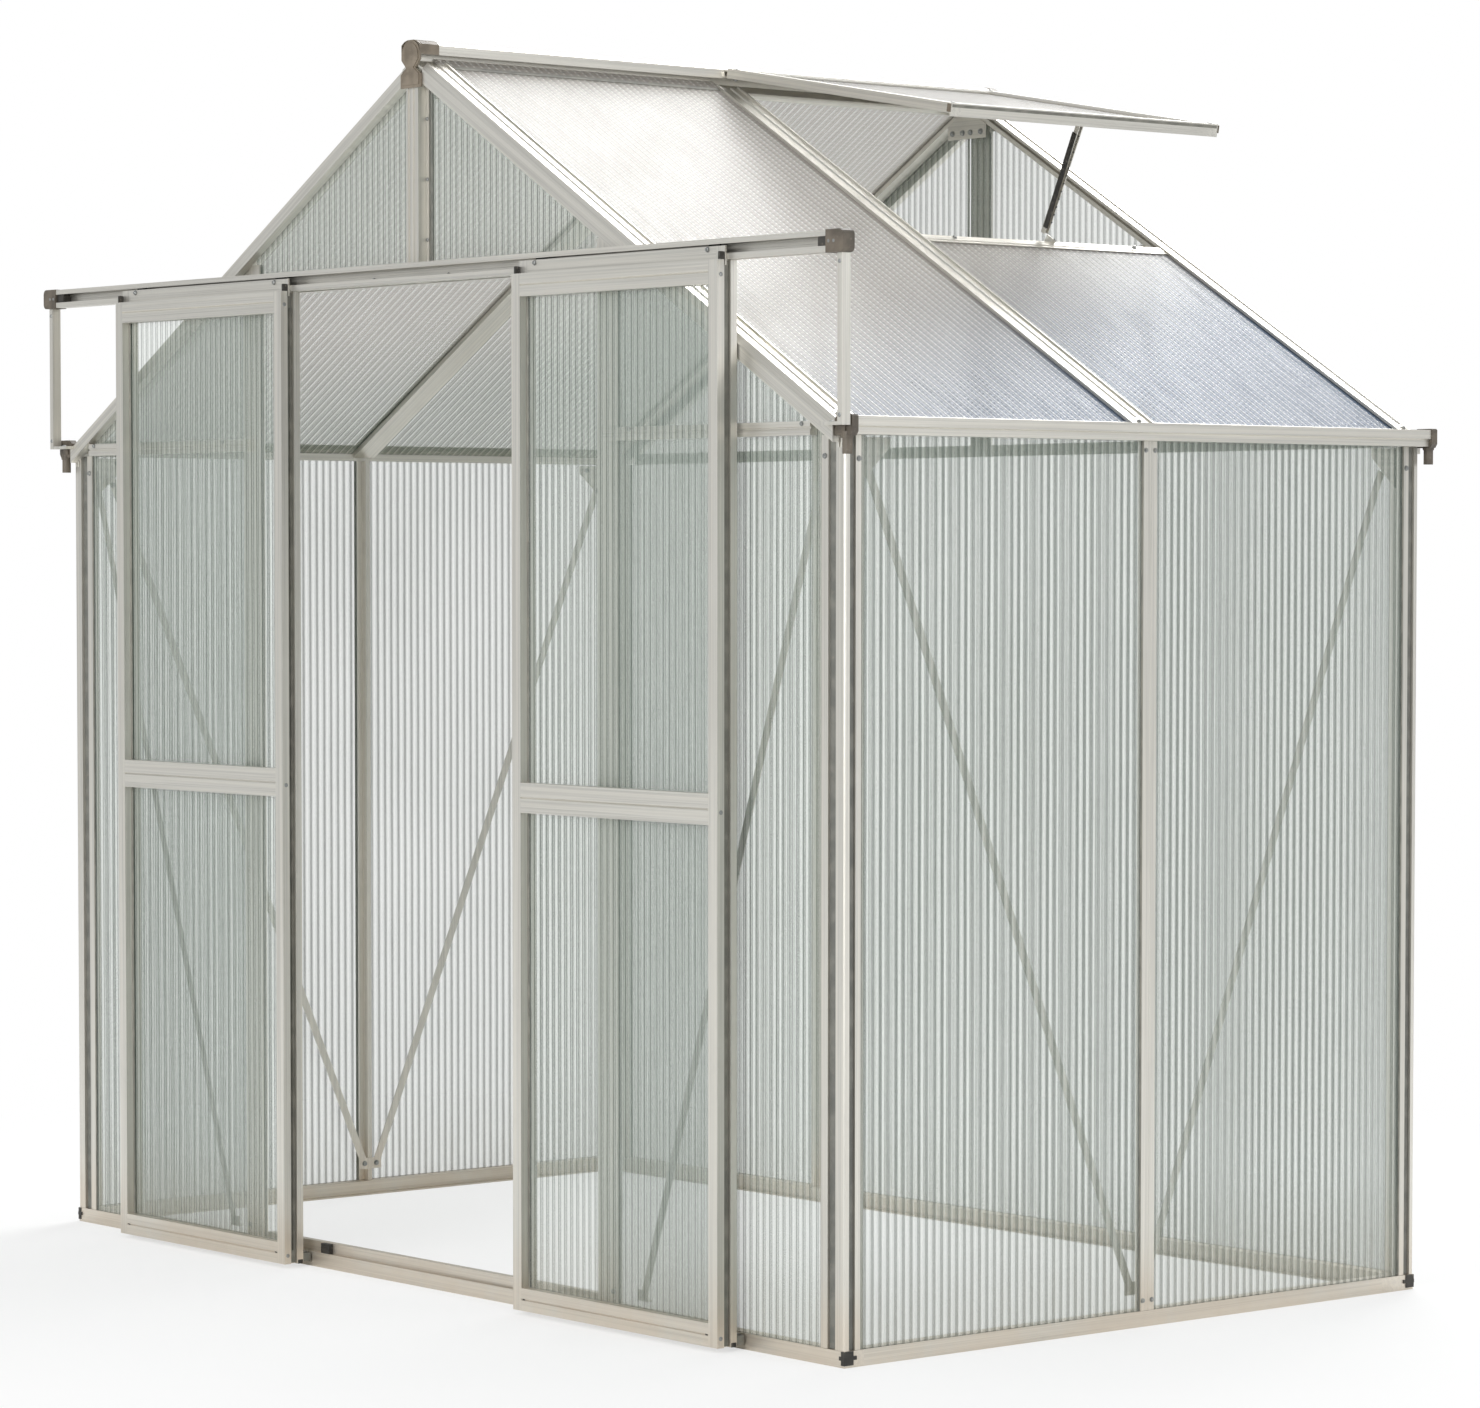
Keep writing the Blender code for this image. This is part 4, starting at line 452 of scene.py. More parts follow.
def add_block(bm, corner, opposite, edge, turn=None):
    """A block between two corners, with rounded edges; turn is applied about its middle."""
    made = bmesh.new()
    bmesh.ops.create_cube(made, size=1)
    low = Vector(map(min, corner, opposite))
    high = Vector(map(max, corner, opposite))
    bmesh.ops.scale(made, vec=high - low, verts=made.verts)
    bmesh.ops.bevel(made, geom=made.edges[:], offset=edge, offset_type="OFFSET",
                    affect="EDGES", segments=2, profile=0.5, material=-1)
    if turn is not None:
        bmesh.ops.transform(made, matrix=turn.to_4x4(), verts=made.verts)
    bmesh.ops.translate(made, vec=(low + high) / 2, verts=made.verts)
    add_form(bm, made)


def facing(out, spot):
    """The matrix that stands +Z along out at a spot."""
    turn = Vector(out).to_track_quat("Z", "Y").to_matrix().to_4x4()
    return Matrix.Translation(Vector(spot)) @ turn


def add_round(bm, spot, out, low_radius, high_radius, height, sides):
    """A short turned form that stands on a face at spot."""
    made = bmesh.new()
    bmesh.ops.create_cone(made, cap_ends=True, segments=sides, radius1=low_radius,
                          radius2=high_radius, depth=height)
    bmesh.ops.translate(made, vec=(0, 0, height / 2), verts=made.verts)
    bmesh.ops.transform(made, matrix=facing(out, spot), verts=made.verts)
    add_form(bm, made)


# Fittings built of rounds: where each starts, its lower and upper radius, height and sides
NUT = (
    (0.0000, 0.0062, 0.0060, 0.0008, 14),
    (0.0008, 0.0052, 0.0052, 0.0028, 6),
    (0.0036, 0.0050, 0.0040, 0.0007, 6),
    (0.0043, 0.0027, 0.0021, 0.0016, 8),
)
PAN_HEAD = (
    (0.0000, 0.0046, 0.0046, 0.0008, 14),
    (0.0008, 0.0046, 0.0034, 0.0009, 14),
    (0.0017, 0.0034, 0.0012, 0.0004, 14),
)


def add_stack(bm, rounds, spot, out, size):
    """Rounds stacked on a face at spot, each on the one before."""
    out = Vector(out).normalized()
    for start, low_radius, high_radius, height, sides in rounds:
        add_round(bm, Vector(spot) + out * start * size, out, low_radius * size,
                  high_radius * size, height * size, sides)


def add_nut(bm, spot, out, size):
    """Washer, six-sided nut with a chamfered crown, and the end of its bolt."""
    add_stack(bm, NUT, spot, out, size)


def add_pan_head(bm, spot, out, size):
    """Low domed screw head with a turned rim."""
    add_stack(bm, PAN_HEAD, spot, out, size)


def add_bar(bm, outline, start, run, across, up):
    """A drawn section: its outline lies in across and up, and runs from start along run."""
    made = bmesh.new()
    across = Vector(across)
    up = Vector(up)
    start = Vector(start)
    ring = [made.verts.new(start + across * x + up * z) for x, z in outline]
    made.faces.new(ring)
    grown = bmesh.ops.extrude_face_region(made, geom=made.faces[:])
    moved = [part for part in grown["geom"] if isinstance(part, bmesh.types.BMVert)]
    bmesh.ops.translate(made, vec=run, verts=moved)
    bmesh.ops.recalc_face_normals(made, faces=made.faces)
    add_form(bm, made)


def ribbed_sheet(node, name, across, material):
    """A ribbed sheet cut to the outline of a pane: its ribs stand on the outer face."""
    slab = bmesh.new()
    slab.from_mesh(nodes[node].data)
    bmesh.ops.remove_doubles(slab, verts=slab.verts, dist=1e-5)
    widest = max(slab.faces, key=lambda face: face.calc_area())
    out = widest.normal.copy()
    middle = sum((v.co for v in slab.verts), Vector()) / len(slab.verts)
    if out.dot(middle - MIDDLE) < 0:
        out.negate()
    down = across.cross(out)
    sides = [(f.calc_center_median(), f.normal.copy()) for f in slab.faces
             if abs(f.normal.dot(out)) < 0.5]
    spots = [v.co.copy() for v in slab.verts]
    slab.free()
    steps = [spot.dot(across) for spot in spots]
    runs = [spot.dot(down) for spot in spots]
    level = min(spot.dot(out) for spot in spots)
    quarter = FLUTE / len(RIB_PROFILE)
    first = math.floor(min(steps) / quarter) - 1
    count = math.ceil(max(steps) / quarter) + 1 - first
    bm = bmesh.new()
    bmesh.ops.create_grid(bm, x_segments=count, y_segments=1, size=0.5)
    reach = max(runs) - min(runs) + 0.02
    for v in bm.verts:
        column = first + round((v.co.x + 0.5) * count)
        rise = FLUTE_RISE * RIB_PROFILE[column % len(RIB_PROFILE)]
        along = (max(runs) + min(runs)) / 2 + v.co.y * reach
        v.co = across * (column * quarter) + down * along + out * (level + SHEET + rise)
    for spot, normal in sides:
        whole = bm.verts[:] + bm.edges[:] + bm.faces[:]
        bmesh.ops.bisect_plane(bm, geom=whole, dist=1e-6, plane_co=spot, plane_no=normal,
                               clear_outer=True)
    bmesh.ops.recalc_face_normals(bm, faces=bm.faces)
    bm.normal_update()
    if sum((f.normal for f in bm.faces), Vector()).dot(out) < 0:
        bmesh.ops.reverse_faces(bm, faces=bm.faces)
    bmesh.ops.solidify(bm, geom=bm.faces[:], thickness=SHEET)
    piece = finish_piece(name, bm, body_of_node[node], material)
    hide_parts(node)


for node in sorted(nodes):
    if "pane" in node:
        if node.startswith("roof"):
            ribbed_sheet(node, node + "_ribbed", Y, sheet_roof[node.split("_")[2]])
        elif node == "vent_pane":
            ribbed_sheet(node, node + "_ribbed", Y, sheet_roof["vent"])
        elif node.startswith("side"):
            ribbed_sheet(node, node + "_ribbed", Y, sheet_side)
        else:
            ribbed_sheet(node, node + "_ribbed", X, sheet_front)


# Fittings of the house: their places come from the frame's boxes and, where those don't help,
# from the photograph. x_out, y_out and away are 1 or -1, the side that something lies on.

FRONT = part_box("corner_post_front_right")[0].y
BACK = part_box("corner_post_back_right")[1].y
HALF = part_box("corner_post_front_right")[1].x
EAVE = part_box("gutter_right")[0].z
MID_Y = sum(v.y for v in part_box("side_mullion_right")) / 2
SIDES = {"left": -1, "right": 1}
CORNERS = [(x_out, y, y_out) for y, y_out in ((FRONT, -1), (BACK, 1)) for x_out in SIDES.values()]
BASE_TOP = 0.0245
RAFTER_LINE = EAVE + 0.0016 + HALF * math.tan(PITCH)
ROOF_LENGTH = HALF / math.cos(PITCH)


def roof_up(side):
    """The direction straight off a roof slope."""
    return Vector((math.sin(PITCH) * SIDES[side], 0, math.cos(PITCH)))


def roof_point(side, along, rise, y):
    """A point of a roof slope: down it from over the ridge, and above the rafters' line."""
    return Vector((0, y, RAFTER_LINE)) + SLOPE[side] * along + roof_up(side) * rise


def make_base_connectors():
    """Moulded keys round the base's corners, each with a tab to either side."""
    keys = bmesh.new()
    key = (0.0060, 0.0170, 0.0012, 0.0035, 0.0238)
    tab = (0.0100, 0.0230, 0.0016, 0.0110, 0.0165)
    for x_out, y, y_out in CORNERS:
        for x_leg, y_leg, proud, foot, head in (key, tab):
            outline = [(-proud, -proud), (x_leg, -proud), (x_leg, 0), (0, 0), (0, y_leg),
                       (-proud, y_leg)]
            add_bar(keys, outline, (x_out * HALF, y, foot), (0, 0, head - foot),
                    (-x_out, 0, 0), (0, -y_out, 0))
    finish_piece("base_corner_keys", keys, "house", black)


def make_frame_bolts():
    """Bolts of the posts, jambs, mullions, king posts, eaves, rail struts and side braces."""
    bolts = bmesh.new()
    sunk = 0.0013
    for x_out, y, y_out in CORNERS:
        spot = (x_out * (HALF - 0.0455), y - y_out * sunk, EAVE - 0.030)
        add_nut(bolts, spot, (0, y_out, 0), 0.72)
        spot = (x_out * (HALF - sunk), y - y_out * 0.0265, EAVE - 0.034)
        add_nut(bolts, spot, (x_out, 0, 0), 0.72)
    for side, x_out in SIDES.items():
        for z in (0.040, EAVE - 0.014):
            for shift in (-0.0095, 0.0095):
                add_nut(bolts, (x_out * HALF, MID_Y + shift, z), (x_out, 0, 0), 0.62)
        for z in (0.050, EAVE + 0.010):
            add_nut(bolts, (x_out * 0.490, FRONT, z), (0, -1, 0), 0.72)
        low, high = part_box("door_jamb_" + side)
        outer = max(abs(low.x), abs(high.x))
        for x in (outer - 0.018, 0.545):
            add_nut(bolts, (x_out * x, low.y, EAVE + 0.0165), (0, -1, 0), 0.6)
        for x in (outer - 0.018, 0.44, 0.20):
            add_nut(bolts, (x_out * x, BACK + 0.012, EAVE + 0.010), (0, 1, 0), 0.72)
        for z in (1.665, 1.76, 1.855):
            add_nut(bolts, (x_out * 0.0195, FRONT - 0.0002, z), (0, -1, 0), 0.55)
            add_nut(bolts, (x_out * 0.0195, BACK + 0.0032, z), (0, 1, 0), 0.55)
        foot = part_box("rail_strut_" + side)[0]
        add_pan_head(bolts, (x_out * 1.022, foot.y + 0.0085, foot.z + 0.005), (0, 0, 1), 0.9)
        low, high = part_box("side_brace_" + side)
        face = low.x if x_out > 0 else high.x
        for y in (MID_Y - 0.013, MID_Y + 0.013):
            add_nut(bolts, (face, y, 0.056), (-x_out, 0, 0), 0.8)
        for y in (low.y + 0.008, high.y - 0.008):
            add_nut(bolts, (face, y, high.z - 0.012), (-x_out, 0, 0), 0.8)
    finish_piece("frame_bolts", bolts, "house", steel)


def make_gusset_plates():
    """Plates that tie the eave beams to the posts, and the braces' upper ends to them."""
    plates = bmesh.new()
    bolts = bmesh.new()
    thick = 0.0015
    outline = [(0, 0), (0.085, 0), (0.085, -0.014), (0.018, -0.075), (0, -0.075)]
    for x_out, y, y_out in CORNERS:
        start = Vector((x_out * (HALF - 0.0109 - thick), y - y_out * 0.010, EAVE - 0.003))
        add_bar(plates, outline, start, (x_out * thick, 0, 0), (0, -y_out, 0), Z)
        for step, drop in ((0.010, 0.012), (0.068, 0.008), (0.010, 0.060)):
            add_nut(bolts, start - Vector((0, y_out * step, drop)), (-x_out, 0, 0), 0.8)
    finish_piece("eave_gusset_plates", plates, "house", metal["y"])
    finish_piece("eave_gusset_bolts", bolts, "house", steel)


def make_front_braces():
    """Flat bars behind the front panes, from the corner posts' tops down to feet on the sill."""
    bars = bmesh.new()
    bolts = bmesh.new()
    y = FRONT + 0.0087
    thick = 0.0016
    flat = [(-0.007, 0), (0.007, 0), (0.007, thick), (-0.007, thick)]
    bent = [(0, 0), (0.0100, 0), (0.0100, thick), (thick, thick), (thick, 0.0168), (0, 0.0168)]
    inner = Vector((0, thick, 0))
    for x_out in SIDES.values():
        high = Vector((x_out * 0.9765, y, EAVE - 0.0205))
        low = Vector((x_out * 0.5520, y, 0.0462))
        run = low - high
        down = run.normalized()
        add_bar(bars, flat, high, run, down.cross(Y), Y)
        foot = sorted((low.x - x_out * 0.014, low.x + x_out * 0.010))
        add_bar(bars, bent, (foot[0], y, 0.0412), (foot[1] - foot[0], 0, 0), Y, Z)
        add_nut(bolts, high + down * 0.010 + inner, (0, 1, 0), 0.8)
        add_nut(bolts, low - down * 0.006 + inner, (0, 1, 0), 0.8)
    finish_piece("front_braces", bars, "house", metal["z"])
    finish_piece("front_brace_bolts", bolts, "house", steel)


def make_lower_roof_trims():
    """Bright edge profile over the lower end of every roof sheet, with a small up-turned lip."""
    trims = bmesh.new()
    outline = [(-0.020, 0.0003), (0.0, 0.0003), (0.0, 0.0062), (-0.0012, 0.0062),
               (-0.0012, 0.0016), (-0.0070, 0.0016), (-0.0075, 0.0028), (-0.0088, 0.0028),
               (-0.0093, 0.0016), (-0.020, 0.0016)]
    for side in SIDES:
        for end in ("front", "back"):
            low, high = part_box("roof_pane_" + side + "_" + end)
            start = roof_point(side, ROOF_LENGTH - 0.0125, 0.0104, low.y + 0.0105)
            run = (0, high.y - low.y - 0.021, 0)
            add_bar(trims, outline, start, run, SLOPE[side], roof_up(side))
    finish_piece("lower_roof_trims", trims, "house", metal["y"])


def make_rafter_feet():
    """Bent clips that hold the rafters down on the eave beams, each with its bolt."""
    clips = bmesh.new()
    bolts = bmesh.new()
    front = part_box("rafter_front_right")[0].y + 0.023
    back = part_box("rafter_back_right")[1].y - 0.023
    along = ROOF_LENGTH - 0.048
    rise = 0.0105
    wide = 0.0076
    thick = 0.0014
    outline = [(0, 0), (0.030, 0), (0.036, -0.005), (0.037, -0.004), (0.0305, thick), (0, thick)]
    for side in SIDES:
        for y in (front, MID_Y, back):
            start = roof_point(side, along, rise, y - wide / 2)
            add_bar(clips, outline, start, (0, wide, 0), SLOPE[side], roof_up(side))
            spot = roof_point(side, along + 0.012, rise + thick, y)
            add_nut(bolts, spot, roof_up(side), 0.62)
    finish_piece("rafter_foot_clips", clips, "house", metal["y"])
    finish_piece("rafter_foot_bolts", bolts, "house", steel)


def make_sheet_seals():
    """Soft strips pressed between the sheets and the flanges that hold them."""
    strips = bmesh.new()
    wide = 0.0022
    tall = 0.0011
    bead = [(0, 0), (wide, 0), (wide, tall * 0.5), (wide * 0.6, tall), (0, tall)]
    sunk = 0.0028
    run = (0, 0, EAVE - BASE_TOP - 0.0005)
    for x_out in SIDES.values():
        for y, away in ((FRONT + 0.0315, 1), (BACK - 0.0315, -1), (MID_Y - 0.014, -1),
                        (MID_Y + 0.014, 1)):
            add_bar(strips, bead, (x_out * (HALF - sunk), y, BASE_TOP), run, (0, away, 0),
                    (x_out, 0, 0))
        for x, away in ((0.972, -1), (0.500, 1)):
            add_bar(strips, bead, (x_out * x, FRONT + sunk, BASE_TOP), run,
                    (x_out * away, 0, 0), (0, -1, 0))
        for x, away in ((0.972, -1), (0.434, 1), (0.406, -1)):
            add_bar(strips, bead, (x_out * x, BACK - sunk, BASE_TOP), run,
                    (x_out * away, 0, 0), (0, 1, 0))
    finish_piece("sheet_seals", strips, "house", rubber)


def make_groove_shade_strips():
    """Dark strips that stand for painted shade in the grooves of the corner posts and beside the
    king posts.
    """
    strips = bmesh.new()
    foot = BASE_TOP + 0.0001
    run = (0, 0, EAVE - 0.0006 - foot)
    thick = 0.0012
    wide, narrow = (
        [(0.0002, 0), (reach, 0), (reach, thick), (reach / 2, thick * 0.7), (0.0002, thick)]
        for reach in (0.0176, 0.0116)
    )
    for x_out, y, y_out in CORNERS:
        start = (x_out * (HALF - 0.0202), y - y_out * 0.0060, foot)
        add_bar(strips, wide, start, run, (-x_out, 0, 0), (0, y_out, 0))
        start = (x_out * (HALF - 0.0060), y - y_out * 0.0092, foot)
        add_bar(strips, narrow, start, run, (0, -y_out, 0), (x_out, 0, 0))
    bead = [(0, 0), (0.0034, 0), (0.0034, 0.0008), (0.0018, 0.0016), (0, 0.0016)]
    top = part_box("king_post_front")[1].z - 0.030
    for side, x_out in SIDES.items():
        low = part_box("gable_pane_" + side)[0]
        foot = low.z + 0.024
        add_bar(strips, bead, (x_out * 0.0262, low.y, foot), (0, 0, top - foot),
                (x_out, 0, 0), (0, -1, 0))
    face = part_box("back_pane_centre")[1].y
    foot = 1.385
    for x_out in SIDES.values():
        add_bar(strips, bead, (x_out * 0.0262, face, foot), (0, 0, top - foot),
                (x_out, 0, 0), (0, 1, 0))
    finish_piece("groove_shade_strips", strips, "house", painted_groove_shade)


def make_ridge_seals_and_shade():
    """Dark seal strips where the roof sheets go in under the ridge, which also stand for painted
    shade in the gap under the ridge's lip.
    """
    strips = bmesh.new()
    bead = [(0.0290, 0), (0.0360, 0), (0.0360, 0.0008), (0.0325, 0.0020), (0.0290, 0.0020)]
    for side in SIDES:
        up = roof_up(side)
        for end in ("front", "back"):
            pane = "roof_pane_" + side + "_" + end
            low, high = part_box(pane)
            if min(abs(low.x), abs(high.x)) > 0.1:
                # The pane below the vent doesn't reach the ridge
                continue
            top = max(v.co.dot(up) for v in nodes[pane].data.vertices)
            start = roof_point(side, 0, top - Vector((0, 0, RAFTER_LINE)).dot(up), low.y + 0.012)
            add_bar(strips, bead, start, (0, high.y - low.y - 0.024, 0), SLOPE[side], up)
    finish_piece("ridge_seals_and_shade", strips, "house", rubber)


def make_ridge_joint_plates():
    """Plates inside both gables that tie the rafters, the king post and the ridge together."""
    plates = bmesh.new()
    bolts = bmesh.new()
    shape = [(-0.048, -0.054), (0.048, -0.054), (0.048, -0.030), (0.012, -0.009),
             (-0.012, -0.009), (-0.048, -0.030)]
    gap = 0.0001
    thick = 0.0015
    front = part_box("rafter_front_right")[1].y
    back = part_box("rafter_back_right")[0].y
    for y, inward in ((front, 1), (back, -1)):
        start = (0, y + inward * gap, RAFTER_LINE)
        add_bar(plates, shape, start, (0, inward * thick, 0), X, Z)
        for x in (-0.036, -0.010, 0.010, 0.036):
            spot = (x, y + inward * (gap + thick), RAFTER_LINE - 0.043)
            add_nut(bolts, spot, (0, inward, 0), 0.85)
    finish_piece("ridge_joint_plates", plates, "house", metal["x"])
    finish_piece("ridge_joint_bolts", bolts, "house", steel)


def make_threshold_stops():
    """Moulded blocks on the ledge of the threshold, just inside the open doors."""
    stops = bmesh.new()
    for x_out in SIDES.values():
        add_block(stops, (x_out * 0.262, FRONT - 0.0008, BASE_TOP - 0.0002),
                  (x_out * 0.285, FRONT + 0.0080, BASE_TOP + 0.0160), 0.0010)
        add_block(stops, (x_out * 0.264, FRONT - 0.0016, BASE_TOP + 0.0055),
                  (x_out * 0.283, FRONT - 0.0002, BASE_TOP + 0.0115), 0.0004)
    finish_piece("threshold_stops", stops, "house", black)


def make_ridge_cap_screws():
    """Three flat screw heads on the face of each ridge cap."""
    screws = bmesh.new()
    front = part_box("ridge_cap_front")[0].y
    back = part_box("ridge_cap_back")[1].y
    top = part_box("ridge_cap_front")[1].z
    for y, out in ((front + 0.0006, -1), (back - 0.0006, 1)):
        for x, z in ((0, top - 0.0247), (-0.014, top - 0.065), (0.014, top - 0.065)):
            add_round(screws, (x, y, z), (0, out, 0), 0.0040, 0.0036, 0.0005, 16)
    finish_piece("ridge_cap_screws", screws, "house", steel)


def make_gutter_details():
    """Lugs and outlet collars of the gutters' end caps, and the pale clips beside them."""
    lugs = bmesh.new()
    clips = bmesh.new()
    for x_out, y, y_out in CORNERS:
        x = x_out * (HALF + 0.008)
        face = y + y_out * 0.0127
        add_block(lugs, (x - 0.0075, face, EAVE + 0.003),
                  (x + 0.0075, face + y_out * 0.0016, EAVE + 0.0215), 0.0007)
        collar = (x_out * (HALF + 0.014), y + y_out * 0.0082, EAVE - 0.002)
        add_round(lugs, collar, (0, 0, -1), 0.0092, 0.0088, 0.0035, 18)
        for inset in (0.0062, 0.01324):
            foot = Vector((x_out * (HALF - inset), y + y_out * 0.0012, EAVE - 0.018))
            add_block(clips, foot - Vector((0.0013, 0.0008, 0)),
                      foot + Vector((0.0013, 0.0008, 0.013)), 0.0004)
    finish_piece("gutter_cap_lugs", lugs, "house", umber)
    finish_piece("gutter_end_clips", clips, "house", pale)


def make_rail_details():
    """Screws of the rail's end caps, the rail's fixing bolts and its end stops."""
    stops = bmesh.new()
    bolts = bmesh.new()
    low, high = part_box("door_rail")
    for side, x_out in SIDES.items():
        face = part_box("door_rail_cap_" + side)[0].y + 0.0002
        for shift in (-0.0055, 0.0055):
            spot = (x_out * (HALF + 0.012) + shift, face, (low.z + high.z) / 2)
            add_round(bolts, spot, (0, -1, 0), 0.0026, 0.0022, 0.0006, 12)
        add_block(stops, (x_out * 1.004, low.y + 0.0023, low.z + 0.0092),
                  (x_out * 1.0245, high.y - 0.0045, high.z - 0.0082), 0.0012)
        for x in (0.10, 0.32):
            add_nut(bolts, (x_out * x, high.y - 0.0032, low.z + 0.0100), (0, -1, 0), 0.45)
        foot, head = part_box("rail_strut_" + side)
        for z in (head.z - 0.012, foot.z + 0.014):
            add_pan_head(bolts, (x_out * 1.049, foot.y, z), (0, -1, 0), 0.7)
    finish_piece("rail_end_stops", stops, "house", black)
    finish_piece("rail_bolts", bolts, "house", steel)


# Fittings of the doors

def make_door_details(side, x_out):
    """Bolts, guide blocks, plugs, seals and roller nuts of one door, with dark strips of painted
    shade in its stiles' grooves.
    """
    body = side + "_door"
    low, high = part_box(side + "_door_frame")
    inner, outer = (low.x, high.x) if x_out > 0 else (high.x, low.x)
    front = low.y
    back = front + 0.0372
    middle_rail = 0.797
    hub_height = 1.6125
    tall = high.z - low.z
    shade_strip = [(0, 0), (0.0116, 0), (0.0116, 0.0012), (0.0058, 0.0008), (0, 0.0012)]
    bead = [(0, 0), (0.0026, 0), (0.0026, 0.0008), (0.0012, 0.0018), (0, 0.0018)]
    pile = [(0, 0), (0.0030, 0), (0.0042, 0.0006), (0.0030, 0.0012), (0, 0.0012)]
    bolts = bmesh.new()
    blocks = bmesh.new()
    guides = bmesh.new()
    strips = bmesh.new()
    for x, away in ((inner, x_out), (outer, -x_out)):
        for z in (high.z - 0.038, middle_rail, low.z + 0.018):
            add_pan_head(bolts, (x + away * 0.0105, front + 0.00175, z), (0, -1, 0), 0.82)
            add_pan_head(bolts, (x, front + 0.0065, z - 0.004), (-away, 0, 0), 0.72)
        add_block(blocks, (x - away * 0.0008, front + 0.0264, low.z - 0.001),
                  (x + away * 0.0110, front + 0.0364, low.z + 0.006), 0.0012)
        add_block(blocks, (x + away * 0.0003, front + 0.0040, high.z - 0.0210),
                  (x + away * 0.0045, front + 0.0140, high.z - 0.0085), 0.0014)
        spot = (x + away * 0.026, front + 0.0013, low.z + 0.020)
        add_round(blocks, spot, (0, -1, 0), 0.0038, 0.0032, 0.0012, 14)
        add_block(guides, (x + away * 0.0010, back, 0.0080),
                  (x + away * 0.0180, back + 0.0158, 0.0220), 0.0008)
        add_block(guides, (x + away * 0.0050, back, 0.0215),
                  (x + away * 0.0140, back + 0.0118, 0.0250), 0.0006)
        # Dark strip in each stile's groove: painted shade, not a part of the door
        add_bar(strips, shade_strip, (x + away * 0.0060, front + 0.0132, low.z + 0.001),
                (0, 0, tall - 0.023), (0, 1, 0), (-away, 0, 0))
    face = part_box(side + "_door_pane")[0].y
    for x, away in ((low.x + 0.021, 1), (high.x - 0.021, -1)):
        add_bar(strips, bead, (x, face, low.z + 0.035), (0, 0, tall - 0.090),
                (away, 0, 0), (0, -1, 0))
    # Brush pile between door and jamb: a real seal, kept dark to also stand for painted shade
    # there
    add_bar(strips, pile, (inner + x_out * 0.0060, front + 0.0185, low.z + 0.022),
            (0, 0, tall - 0.070), (-x_out, 0, 0), (0, 1, 0))
    for x in (inner + x_out * 0.040, outer - x_out * 0.040):
        add_nut(bolts, (x, front + 0.0147, hub_height), (0, -1, 0), 0.7)
    finish_piece(side + "_door_bolts", bolts, body, steel)
    finish_piece(side + "_door_plugs", blocks, body, black)
    finish_piece(side + "_door_guides", guides, body, rubber)
    finish_piece(side + "_door_seals", strips, body, rubber)


# Fittings of the vent

VENT_UP = Vector((math.sin(VENT_TILT), 0, math.cos(VENT_TILT)))

# The stay, as it hangs at rest: its hinge, the way down it and the way out of its open side
STAY_HINGE = Vector((0.550275, 0.3305, 1.863679))
STAY_DOWN = Vector((-0.4170, 0, -0.9089))
STAY_OUT = Vector((-0.9089, 0, 0.4170))


def vent_point(along, rise, y):
    """A point of the open vent: down it from its hinge, and above the hinge's line."""
    return VENT_PIVOT + Y * y + VENT_DOWN * along + VENT_UP * rise


def make_vent_details():
    """Edge seal, bolts and corner keys of the vent, and the pin that the stay hangs from."""
    bolts = bmesh.new()
    keys = bmesh.new()
    pin = bmesh.new()
    seal = bmesh.new()
    low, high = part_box("vent_frame")
    for y in (low.y + 0.011, high.y - 0.011):
        for along in (0.024, 0.564):
            add_pan_head(bolts, vent_point(along, 0.008, y), VENT_UP, 0.9)
            add_nut(bolts, vent_point(along, -0.008, y), -VENT_UP, 0.7)
    add_pan_head(bolts, STAY_HINGE - Y * 0.0071, (0, -1, 0), 0.8)
    add_round(pin, STAY_HINGE - Y * 0.0070, (0, 1, 0), 0.0021, 0.0021, 0.0117, 14)
    turn = VENT_DOWN.to_track_quat("X", "Z").to_matrix()
    for y, out in ((low.y - 0.0006, -1), (high.y + 0.0006, 1)):
        spot = vent_point(0.570, 0, y)
        add_block(keys, spot + Vector((-0.0045, 0, -0.0065)),
                  spot + Vector((0.0045, out * 0.0014, 0.0065)), 0.0005, turn)
    flat = [(0.5729, 0.0012), (0.5736, 0.0012), (0.5736, 0.0058), (0.5729, 0.0058)]
    add_bar(seal, flat, VENT_PIVOT + Y * (low.y + 0.003), (0, high.y - low.y - 0.006, 0),
            VENT_DOWN, VENT_UP)
    finish_piece("vent_edge_seal", seal, "vent", rubber)
    finish_piece("vent_bolts", bolts, "vent", steel)
    finish_piece("vent_stay_pin", pin, "vent", steel)
    finish_piece("vent_corner_keys", keys, "vent", taupe)


def make_stay_shade_strip():
    """A dark strip of painted shade on the stay's shaded face, and black discs for the holes
    along its edge.
    """
    shade_strip = bmesh.new()
    flat = [(-0.0042, 0), (0.0066, 0), (0.0066, 0.0008), (-0.0042, 0.0008)]
    add_bar(shade_strip, flat, STAY_HINGE + STAY_DOWN * 0.016 - Y * 0.00455, STAY_DOWN * 0.164,
            STAY_OUT, (0, -1, 0))
    for step in range(12):
        spot = STAY_HINGE + STAY_DOWN * (0.020 + 0.0135 * step) - STAY_OUT * 0.0045
        add_round(shade_strip, spot, -STAY_OUT, 0.0017, 0.0015, 0.0004, 10)
    finish_piece("stay_shade_strip", shade_strip, body_of_node["vent_stay"], black)


